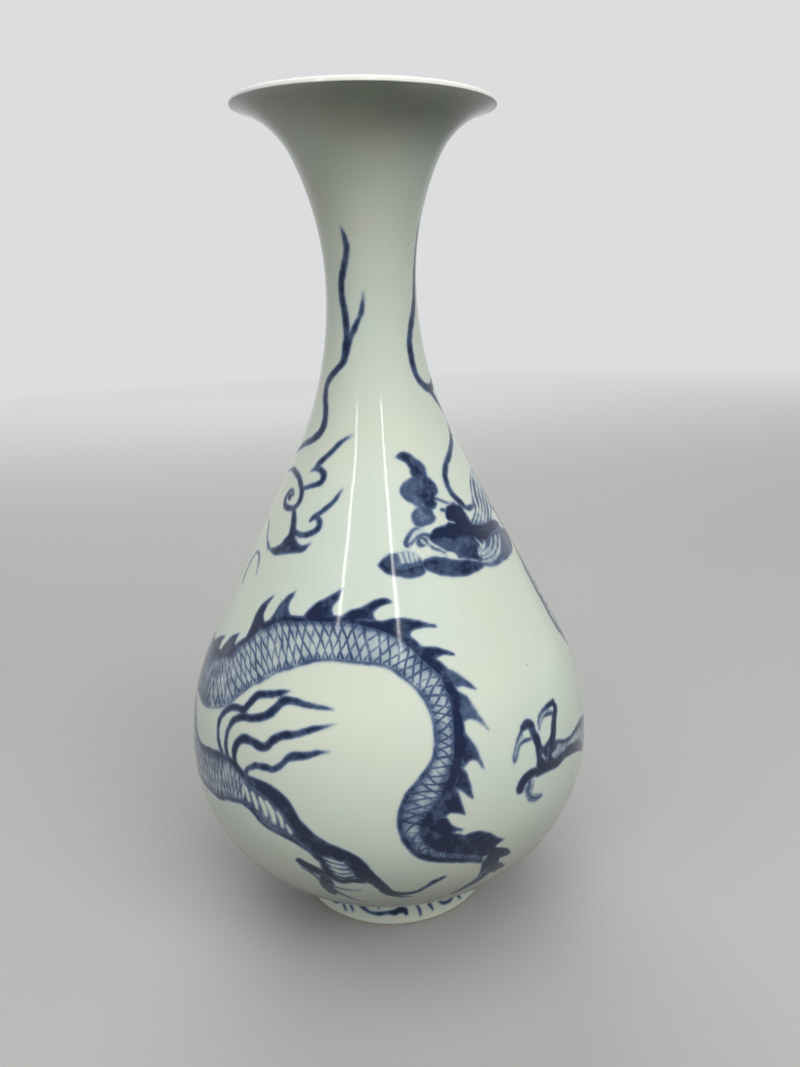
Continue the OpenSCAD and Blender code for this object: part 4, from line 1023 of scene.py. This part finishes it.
def clay_material(name, colours):
    """Bare fired clay: matt and fine, with a toasted line where it comes out from under the glaze."""
    made, tree, shader = material(name)
    place = node(tree, "TexCoord").outputs["Object"]
    level = node(tree, "SeparateXYZ", {0: place}).outputs["Z"]
    ragged = node(tree, "TexNoise", {"Vector": place, "Scale": per_metre(5), "Detail": 3})
    near = node(tree, "MapRange", {"Value": level, "From Min": 0.2 * MM, "From Max": 2.2 * MM})
    toast = node(tree, "Math", {0: near, 1: ragged}, operation="MULTIPLY")
    toast = node(tree, "Math", {0: toast, 1: 0.3}, operation="MULTIPLY")
    colour = node(tree, "Mix", {0: toast, 6: (*colours.clay, 1), 7: (*colours.clay_toasted, 1)}, data_type="RGBA")
    grain = node(tree, "TexNoise", {"Vector": place, "Scale": per_metre(0.7), "Detail": 3})
    shade = node(tree, "MapRange", {"Value": grain, "From Min": 0.3, "From Max": 0.7, "To Min": 0.82, "To Max": 1.05})
    colour = node(tree, "Mix", {0: 1.0, 6: colour.outputs[2], 7: shade}, data_type="RGBA", blend_type="MULTIPLY")
    bump = node(tree, "Bump", {"Height": grain, "Strength": 0.5, "Distance": 0.05 * MM})
    tree.links.new(colour.outputs[2], shader.inputs["Base Color"])
    tree.links.new(bump.outputs[0], shader.inputs["Normal"])
    shader.inputs["Roughness"].default_value = 0.75
    shader.inputs["IOR"].default_value = 1.5
    return made


def in_order(mesh):
    """Sets a mesh's faces in the order of their points, because turning gives them in another order each time."""
    faces = [list(face.vertices) for face in mesh.polygons]
    firsts = [face.index(min(face)) for face in faces]
    faces = sorted(face[first:] + face[:first] for face, first in zip(faces, firsts))
    points = [point.co.copy() for point in mesh.vertices]
    mesh.clear_geometry()
    mesh.from_pydata(points, [], faces)


def turned(name, rows, steps):
    """A mesh turned about the Z axis from rows of radius and height in millimetres."""
    bpy.ops.object.select_all(action="DESELECT")
    bpy.ops.mesh.primitive_plane_add(size=MM, location=(rows[0][0] * MM, 0, rows[0][1] * MM))
    piece = bpy.context.object
    piece.name = piece.data.name = name
    bpy.ops.object.transform_apply(location=True, rotation=False, scale=False)
    bpy.ops.object.mode_set(mode="EDIT")
    bpy.ops.mesh.merge(type="CENTER")
    for (r0, z0), (r1, z1) in zip(rows, rows[1:]):
        bpy.ops.mesh.extrude_region_move(TRANSFORM_OT_translate={"value": ((r1 - r0) * MM, 0, (z1 - z0) * MM)})
    bpy.ops.mesh.select_all(action="SELECT")
    bpy.ops.mesh.spin(steps=steps, angle=2 * math.pi, center=(0, 0, 0), axis=(0, 0, 1))
    bpy.ops.mesh.select_all(action="SELECT")
    bpy.ops.mesh.remove_doubles(threshold=0.01 * MM)
    bpy.ops.mesh.normals_make_consistent(inside=False)
    bpy.ops.object.mode_set(mode="OBJECT")
    in_order(piece.data)
    return piece


def dressed(piece, made, slot, *stands_for):
    """Gives a piece its material, hangs it under the root body and hides the CAD parts it stands for."""
    piece.data.materials.clear()
    piece.data.materials.append(made)
    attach(piece, "root")
    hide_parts(*stands_for)


def coordinates(mesh):
    flat = np.empty(len(mesh.vertices) * 3, np.float32)
    mesh.vertices.foreach_get("co", flat)
    return flat.reshape(-1, 3).astype(float) / MM


def store(mesh, name, kind, values):
    """Keeps a value for each point of a mesh, for its material to read."""
    stored = mesh.attributes.new(name, kind, "POINT")
    stored.data.foreach_set("value" if kind == "FLOAT" else "vector", values.astype(np.float32).ravel())


def even(line, spacing):
    """Rows picked along a fine line at about even spacing, both ends kept."""
    length = np.concatenate([[0], np.cumsum(np.hypot(*np.diff(line, axis=0).T))])
    want = np.linspace(0, length[-1], max(2, round(length[-1] / spacing) + 1))
    return np.stack([np.interp(want, length, line[:, k]) for k in (0, 1)], 1)


# turns of the plain pieces, and the spacing of rows on the faces that show and on those that don't, in millimetres
PLAIN_TURNS = 128
SHOWN, HIDDEN = 3.0, 6.0


class VASE_OT_painted_glaze(bpy.types.Operator):
    """Turn the outer coat of glaze and lay the cobalt painting on it"""

    bl_idname = "vase.painted_glaze"
    bl_label = "Painted glaze"

    TURNS = 132
    SPACING, LIP_SPACING, HIDDEN_SPACING = 3.2, 0.16, 7.5
    LEVELS = 3
    # how near the brush's edge, in millimetres, a face is cut at each level
    NEAR = (2.2, 0.95, 0.45)
    # strokes under these widths are cut at the last level in front, and at the second one round the back
    FINE_STROKE, BACK_STROKE = 1.25, 3.0
    FRONT = math.radians(97)
    NEVER = 9

    def execute(self, context):
        wall = Wall(context.scene.vase_sizes)
        foot, pool = wall.BEAD_POINTS, wall.BEAD_POINTS + wall.FOOT_POINTS
        belly = pool + wall.POOL_POINTS
        rows = np.vstack([
            wall.line[:foot],
            even(wall.line[foot - 1 : pool], self.SPACING)[1:],
            wall.line[pool + 4 : belly : 4],
            even(wall.line[belly : 1 - wall.RIM], self.SPACING),
            even(wall.line[-wall.RIM :], self.LIP_SPACING)[1:],
            even(wall.face(wall.glaze, wall.foot_h), self.HIDDEN_SPACING)[::-1],
            wall.bead[None],
        ])
        piece = turned("painted_glaze", rows, self.TURNS)
        brush = dragon_and_clouds(wall)
        for level in range(self.LEVELS):
            self.refine(piece.data, wall, brush, level)
        self.finish(piece, wall, brush)
        made = glaze_material("painted_lime_glaze", context.scene.vase_colours, True)
        dressed(piece, made, "painted_glaze", "outer_glaze")
        return {"FINISHED"}

    def outside(self, wall, co):
        """Which points lie on the outer face below the lip, how far up the wall they are and its normals there."""
        s = wall.up(co[:, 2])
        r = np.hypot(co[:, 0], co[:, 1])
        normal = np.stack([np.interp(s, wall.s, wall.normal[:, k]) for k in (0, 1)], 1)
        off = (r - np.interp(s, wall.s, wall.line[:, 0])) * normal[:, 0]
        return (np.abs(off) < 0.16) & (s < wall.flare_s - 0.2), s, normal

    def refine(self, mesh, wall, brush, level):
        """Cuts the faces near the brush's edges in four, and sets the new points on the wall."""
        co = coordinates(mesh)
        outer = self.outside(wall, co)[0]
        distance, _, scales, thin = brush.measure(co)
        line = np.abs(distance[:, :2]).min(1)
        front = np.abs(np.arctan2(co[:, 0], -co[:, 1])) < self.FRONT
        if level == 0:
            soft = np.minimum(np.abs(distance[:, 2]), np.abs(scales[:, 2]))
            wanted = np.minimum(np.minimum(line, soft) - self.NEAR[0], scales[:, 2])
        elif level == 1:
            wanted = np.where(front | (thin < self.BACK_STROKE), line - self.NEAR[1], self.NEVER)
        else:
            wanted = np.where(front & (thin < self.FINE_STROKE), line - self.NEAR[2], self.NEVER)
        wanted[~outer] = self.NEVER
        total = np.empty(len(mesh.polygons), np.int32)
        start = np.empty(len(mesh.polygons), np.int32)
        corner = np.empty(len(mesh.loops), np.int32)
        mesh.polygons.foreach_get("loop_total", total)
        mesh.polygons.foreach_get("loop_start", start)
        mesh.loops.foreach_get("vertex_index", corner)
        chosen = np.minimum.reduceat(wanted[corner], start) < 0
        chosen &= (np.minimum.reduceat(outer[corner].astype(int), start) == 1) & (total == 4)
        mesh.vertices.foreach_set("select", np.zeros(len(mesh.vertices), bool))
        mesh.edges.foreach_set("select", np.zeros(len(mesh.edges), bool))
        mesh.polygons.foreach_set("select", chosen)
        bpy.context.tool_settings.mesh_select_mode = (False, False, True)
        bpy.ops.object.mode_set(mode="EDIT")
        bpy.ops.mesh.subdivide(number_cuts=1)
        bpy.ops.object.mode_set(mode="OBJECT")
        co = coordinates(mesh)
        outer, s, _ = self.outside(wall, co)
        turn = np.degrees(np.arctan2(co[:, 0], -co[:, 1]))
        co[outer] = wall.at(turn[outer], s[outer])
        mesh.vertices.foreach_set("co", (co * MM).astype(np.float32).ravel())
        mesh.update()

    def finish(self, piece, wall, brush):
        """Stores the brush's distances on the points, and gives the coat the outline's own normals."""
        mesh = piece.data
        co = coordinates(mesh)
        outer, _, normal = self.outside(wall, co)
        distance, tone, scales, _ = brush.measure(co)
        distance[~outer] = Brush.FAR
        scales[~outer] = (0, 0, Brush.FAR)
        for name, values in (("brush", distance), ("tone", tone), ("scales", scales)):
            store(mesh, name, "FLOAT_VECTOR", values)
        # the lip's whitening, partly thin glaze and partly a painted highlight
        store(mesh, "drained", "FLOAT", wall.drained(co))
        bpy.ops.object.select_all(action="DESELECT")
        piece.select_set(True)
        bpy.context.view_layer.objects.active = piece
        bpy.ops.object.shade_smooth()
        plain = np.empty(len(co) * 3, np.float32)
        mesh.vertices.foreach_get("normal", plain)
        normals = plain.reshape(-1, 3).astype(float)
        turn = np.arctan2(co[:, 0], -co[:, 1])
        exact = np.stack([normal[:, 0] * np.sin(turn), -normal[:, 0] * np.cos(turn), normal[:, 1]], 1)
        normals[outer] = exact[outer]
        mesh.normals_split_custom_set_from_vertices(normals.astype(np.float32))


class VASE_OT_inner_glaze(bpy.types.Operator):
    """Turn the coat of glaze inside, from the lip down over the floor"""

    bl_idname = "vase.inner_glaze"
    bl_label = "Inner glaze"

    def execute(self, context):
        wall = Wall(context.scene.vase_sizes)
        under = wall.wall - wall.glaze
        rows = np.vstack([
            [(0, wall.floor(under))],
            even(wall.face(under, wall.floor(under)), HIDDEN),
            even(wall.face(wall.wall, wall.floor(wall.wall)), SHOWN)[::-1],
            [(0, wall.floor(wall.wall))],
        ])
        piece = turned("inner_glaze_coat", rows, PLAIN_TURNS)
        # the lip's whitening reaches over the top of this coat too, partly thin glaze and partly a painted highlight
        store(piece.data, "drained", "FLOAT", wall.drained(coordinates(piece.data)))
        bpy.ops.object.shade_smooth_by_angle(angle=math.radians(40))
        made = glaze_material("lime_glaze", context.scene.vase_colours, False)
        dressed(piece, made, "clear_glaze", "inner_glaze")
        return {"FINISHED"}


class VASE_OT_base_glaze(bpy.types.Operator):
    """Turn the coat of glaze under the base, down to the wiped line"""

    bl_idname = "vase.base_glaze"
    bl_label = "Base glaze"

    # radius of the glaze in the corner of the recess
    COVE = 1.5

    def execute(self, context):
        wall = Wall(context.scene.vase_sizes)
        low = wall.well_bevel + wall.wiped
        under = wall.foot_h - wall.glaze
        turn = np.linspace(0, math.pi / 2, 7)[:, None]
        corner = np.array([wall.well_face(under), under]) - self.COVE
        cove = corner + self.COVE * np.hstack([np.cos(turn), np.sin(turn)])
        rows = np.vstack([
            [(0, wall.foot_h), (wall.well_face(wall.foot_h) + wall.glaze, wall.foot_h),
             (wall.well_face(low) + wall.glaze, low), (wall.well_face(low) + 0.1, low + 0.1),
             (wall.well_face(low + 0.5), low + 0.5)],
            cove,
            [(20, under), (0, under)],
        ])
        piece = turned("base_glaze_coat", rows, PLAIN_TURNS)
        bpy.ops.object.shade_smooth_by_angle(angle=math.radians(40))
        made = glaze_material("lime_glaze_under_base", context.scene.vase_colours, False)
        dressed(piece, made, "clear_glaze", "base_glaze")
        return {"FINISHED"}


class VASE_OT_foot_ring(bpy.types.Operator):
    """Turn the bare foot with its rounded bevels"""

    bl_idname = "vase.foot_ring"
    bl_label = "Foot ring"

    def execute(self, context):
        wall = Wall(context.scene.vase_sizes)
        top = wall.foot_h - 0.6
        outer, inner = wall.foot_bevel, wall.well_bevel
        bottom = wall.foot_face(outer) - wall.glaze - outer
        inside = wall.well_face(inner) + wall.glaze
        rows = [
            (wall.well_face(top) + wall.glaze, top), (wall.foot_face(top) - wall.glaze, top),
            (wall.foot_face(outer + 0.3) - wall.glaze, outer + 0.3),
            (wall.foot_face(outer) - wall.glaze - 0.12, outer - 0.2),
            (bottom + 0.2, 0.12), (bottom - 0.2, 0), (inside + inner + 0.2, 0), (inside + inner - 0.15, 0.1),
            (inside + 0.1, inner - 0.15), (inside, inner + 0.2), (wall.well_face(top) + wall.glaze, top),
        ]
        piece = turned("bare_foot_ring", rows, PLAIN_TURNS)
        bpy.ops.object.shade_smooth_by_angle(angle=math.radians(50))
        dressed(piece, clay_material("bare_fired_clay", context.scene.vase_colours), "bare_porcelain", "foot_ring")
        return {"FINISHED"}


class VASE_OT_thrown_sections(bpy.types.Operator):
    """Give the thrown sections and the slip between them their fired clay"""

    bl_idname = "vase.thrown_sections"
    bl_label = "Thrown sections"

    def execute(self, context):
        made = clay_material("fired_porcelain", context.scene.vase_colours)
        slip = clay_material("fired_slip", context.scene.vase_colours)
        for name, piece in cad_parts.items():
            piece.data.materials.clear()
            piece.data.materials.append(slip if name.endswith("seam") else made)
        # the section of the neck is made again, because its mouth settles with the glaze on it
        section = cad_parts["neck_and_mouth"]
        neck = bpy.data.objects.new("thrown_neck", section.data.copy())
        neck.data.transform(section.matrix_world)
        context.collection.objects.link(neck)
        dressed(neck, made, "porcelain", "neck_and_mouth")
        return {"FINISHED"}


class VASE_OT_settled_mouth(bpy.types.Operator):
    """Lean the mouth a little out of square, as it settled in the fire"""

    bl_idname = "vase.settled_mouth"
    bl_label = "Settled mouth"

    def execute(self, context):
        wall = Wall(context.scene.vase_sizes)
        low = wall.height - wall.neck_drop
        for name in ("thrown_neck", "inner_glaze_coat", "painted_glaze"):
            piece = bpy.data.objects[name]
            co = coordinates(piece.data)
            share = np.clip((co[:, 2] - low) / (wall.height - low), 0, 1)
            towards = co[:, 0] * math.sin(wall.dip_lean) - co[:, 1] * math.cos(wall.dip_lean)
            co[:, 2] += (wall.mouth_rise - math.tan(wall.mouth_lean) * towards) * share**2 * (3 - 2 * share)
            piece.data.vertices.foreach_set("co", (co * MM).astype(np.float32).ravel())
            piece.data.update()
        return {"FINISHED"}


class VASE_OT_stage(bpy.types.Operator):
    """Set the camera, the pale floor with its backdrop and the soft lights"""

    bl_idname = "vase.stage"
    bl_label = "Stage"

    # the camera, fitted to the form's outline: a phone's main lens at arm's length
    EYE = (0.0, -300.24 * MM, 236.96 * MM)
    PITCH, ROLL, YAW = 16.241, 2.063, 1.370
    FOCAL, LONG_SIDE, SENSOR = 801.0, 1067.0, 36
    # where the floor runs into the backdrop, in metres from the vase
    FADE_FROM, FADE_TO = 0.4, 2.6
    # what the floor and the room give back where they aren't seen, and the room behind the viewer in the gloss
    FLOOR_UNSEEN, ROOM_UNSEEN, ROOM = "#303030", "#7C7D7D", "#ADAEAF"
    # name, place, aim, width and height in metres, watts, and whether the glaze mirrors it
    LAMPS = (
        ("overhead", (0.1, -0.5, 1.7), (0, 0, 0.15), (1.6, 1.6), 18, False),
        ("left_strip", (-0.74, -1.0, 1.12), (0, 0, 0.17), (0.035, 0.52), 1.0, True),
        ("right_strip", (0.17, -1.0, 1.03), (0, 0, 0.17), (0.035, 0.56), 1.0, True),
        ("right_fill", (0.8, -0.95, 1.05), (0, 0, 0.08), (0.9, 0.6), 10, False),
        ("left_fill", (-1.7, -1.3, 0.7), (0, 0, 0.2), (1.2, 0.8), 9, False),
        ("back_fill", (-0.3, 1.9, 1.1), (0, 0, 0.15), (1.6, 1.2), 29, False),
    )

    def execute(self, context):
        self.camera(context.scene)
        self.floor(context.scene.vase_colours)
        self.backdrop(context.scene, context.scene.vase_colours)
        for lamp in self.LAMPS:
            self.area(*lamp)
        context.scene.view_settings.view_transform = "Standard"
        return {"FINISHED"}

    def camera(self, scene):
        bpy.ops.object.camera_add(location=self.EYE)
        camera = bpy.context.object
        pitch, roll, yaw = (math.radians(a) for a in (self.PITCH, self.ROLL, self.YAW))
        right = Vector((math.cos(yaw), -math.sin(yaw), 0))
        ahead = Vector((math.cos(pitch) * math.sin(yaw), math.cos(pitch) * math.cos(yaw), -math.sin(pitch)))
        up = right.cross(ahead)
        x = math.cos(roll) * right - math.sin(roll) * up
        y = math.sin(roll) * right + math.cos(roll) * up
        turn = Matrix((x, y, -ahead)).transposed()
        camera.matrix_world = Matrix.Translation(self.EYE) @ turn.to_4x4()
        camera.data.sensor_width = self.SENSOR
        camera.data.lens = self.FOCAL / self.LONG_SIDE * self.SENSOR
        camera.data.clip_start = 0.01
        scene.camera = camera

    def floor(self, colours):
        bpy.ops.object.select_all(action="DESELECT")
        bpy.ops.mesh.primitive_plane_add(size=8)
        floor = bpy.context.object
        floor.name = "floor"
        made, tree, shader = material("floor_paint")
        seen = None
        path = node(tree, "LightPath").outputs
        for ray in ("Is Camera Ray", "Is Glossy Ray", "Is Transmission Ray"):
            seen = path[ray] if seen is None else node(tree, "Math", {0: seen, 1: path[ray]}, operation="MAXIMUM")
        away = node(tree, "VectorMath", {0: node(tree, "TexCoord").outputs["Object"]}, operation="LENGTH")
        away = node(tree, "MapRange",
                    {"Value": away.outputs["Value"], "From Min": self.FADE_FROM, "From Max": self.FADE_TO},
                    interpolation_type="SMOOTHSTEP")
        fade = node(tree, "Math", {0: seen, 1: away}, operation="MULTIPLY")
        unseen = (*linear(self.FLOOR_UNSEEN), 1)
        colour = node(tree, "Mix", {0: seen, 6: unseen, 7: (*colours.floor, 1)}, data_type="RGBA")
        colour = node(tree, "Mix", {0: fade, 6: colour.outputs[2], 7: (0, 0, 0, 1)}, data_type="RGBA")
        tree.links.new(colour.outputs[2], shader.inputs["Base Color"])
        tree.links.new(fade.outputs[0], shader.inputs["Emission Strength"])
        shader.inputs["Emission Color"].default_value = (*colours.backdrop, 1)
        shader.inputs["Specular IOR Level"].default_value = 0.0
        shader.inputs["Roughness"].default_value = 0.9
        floor.data.materials.append(made)

    def backdrop(self, scene, colours):
        """A pale backdrop all round, which the gloss shows behind the vase, with a dimmer room behind the viewer."""
        world = scene.world or bpy.data.worlds.new("studio")
        scene.world = world
        world.use_nodes = True
        tree = world.node_tree
        tree.nodes.clear()
        path = node(tree, "LightPath").outputs
        gloss = node(tree, "Math", {0: path["Is Glossy Ray"], 1: path["Is Transmission Ray"]}, operation="MAXIMUM")
        behind = node(tree, "SeparateXYZ", {0: node(tree, "TexCoord").outputs["Object"]}).outputs["Y"]
        behind = node(tree, "MapRange", {"Value": behind, "From Min": -0.2, "From Max": 0.5},
                      interpolation_type="SMOOTHSTEP")
        pale, room, unseen = (
            (*c, 1) for c in (colours.backdrop, linear(self.ROOM), linear(self.ROOM_UNSEEN)))
        shown = node(tree, "Mix", {0: behind, 6: room, 7: pale}, data_type="RGBA")
        colour = node(tree, "Mix", {0: gloss, 6: unseen, 7: shown.outputs[2]}, data_type="RGBA")
        colour = node(tree, "Mix", {0: path["Is Camera Ray"], 6: colour.outputs[2], 7: pale}, data_type="RGBA")
        node(tree, "OutputWorld", {0: node(tree, "Background", {0: colour.outputs[2], 1: 1.0})})

    def area(self, name, place, target, size, watts, mirrored):
        bpy.ops.object.light_add(type="AREA", location=place)
        lamp = bpy.context.object
        lamp.name = name
        lamp.data.shape = "RECTANGLE"
        lamp.data.size, lamp.data.size_y = size
        lamp.data.energy = watts
        lamp.visible_glossy = mirrored
        lamp.rotation_euler = (Vector(target) - Vector(place)).to_track_quat("-Z", "Y").to_euler()


class VASE_PT_panel(bpy.types.Panel):
    """The vase's sizes, colours and steps"""

    bl_label = "Vase"
    bl_space_type = "VIEW_3D"
    bl_region_type = "UI"
    bl_category = "Vase"

    def draw(self, context):
        for group in (context.scene.vase_sizes, context.scene.vase_colours):
            box = self.layout.box()
            for name in group.__annotations__:
                box.prop(group, name)
        for step in STEPS:
            self.layout.operator(step.bl_idname)


STEPS = (VASE_OT_thrown_sections, VASE_OT_foot_ring, VASE_OT_base_glaze, VASE_OT_inner_glaze, VASE_OT_painted_glaze,
         VASE_OT_settled_mouth, VASE_OT_stage)
CLASSES = (VaseSizes, VaseColours, *STEPS, VASE_PT_panel)


def register():
    for made in CLASSES:
        bpy.utils.register_class(made)
    bpy.types.Scene.vase_sizes = bpy.props.PointerProperty(type=VaseSizes)
    bpy.types.Scene.vase_colours = bpy.props.PointerProperty(type=VaseColours)


def unregister():
    del bpy.types.Scene.vase_colours
    del bpy.types.Scene.vase_sizes
    for made in reversed(CLASSES):
        bpy.utils.unregister_class(made)


def main():
    register()
    bpy.ops.vase.thrown_sections()
    bpy.ops.vase.foot_ring()
    bpy.ops.vase.base_glaze()
    bpy.ops.vase.inner_glaze()
    bpy.ops.vase.painted_glaze()
    bpy.ops.vase.settled_mouth()
    bpy.ops.vase.stage()


if __name__ == "__main__":
    main()
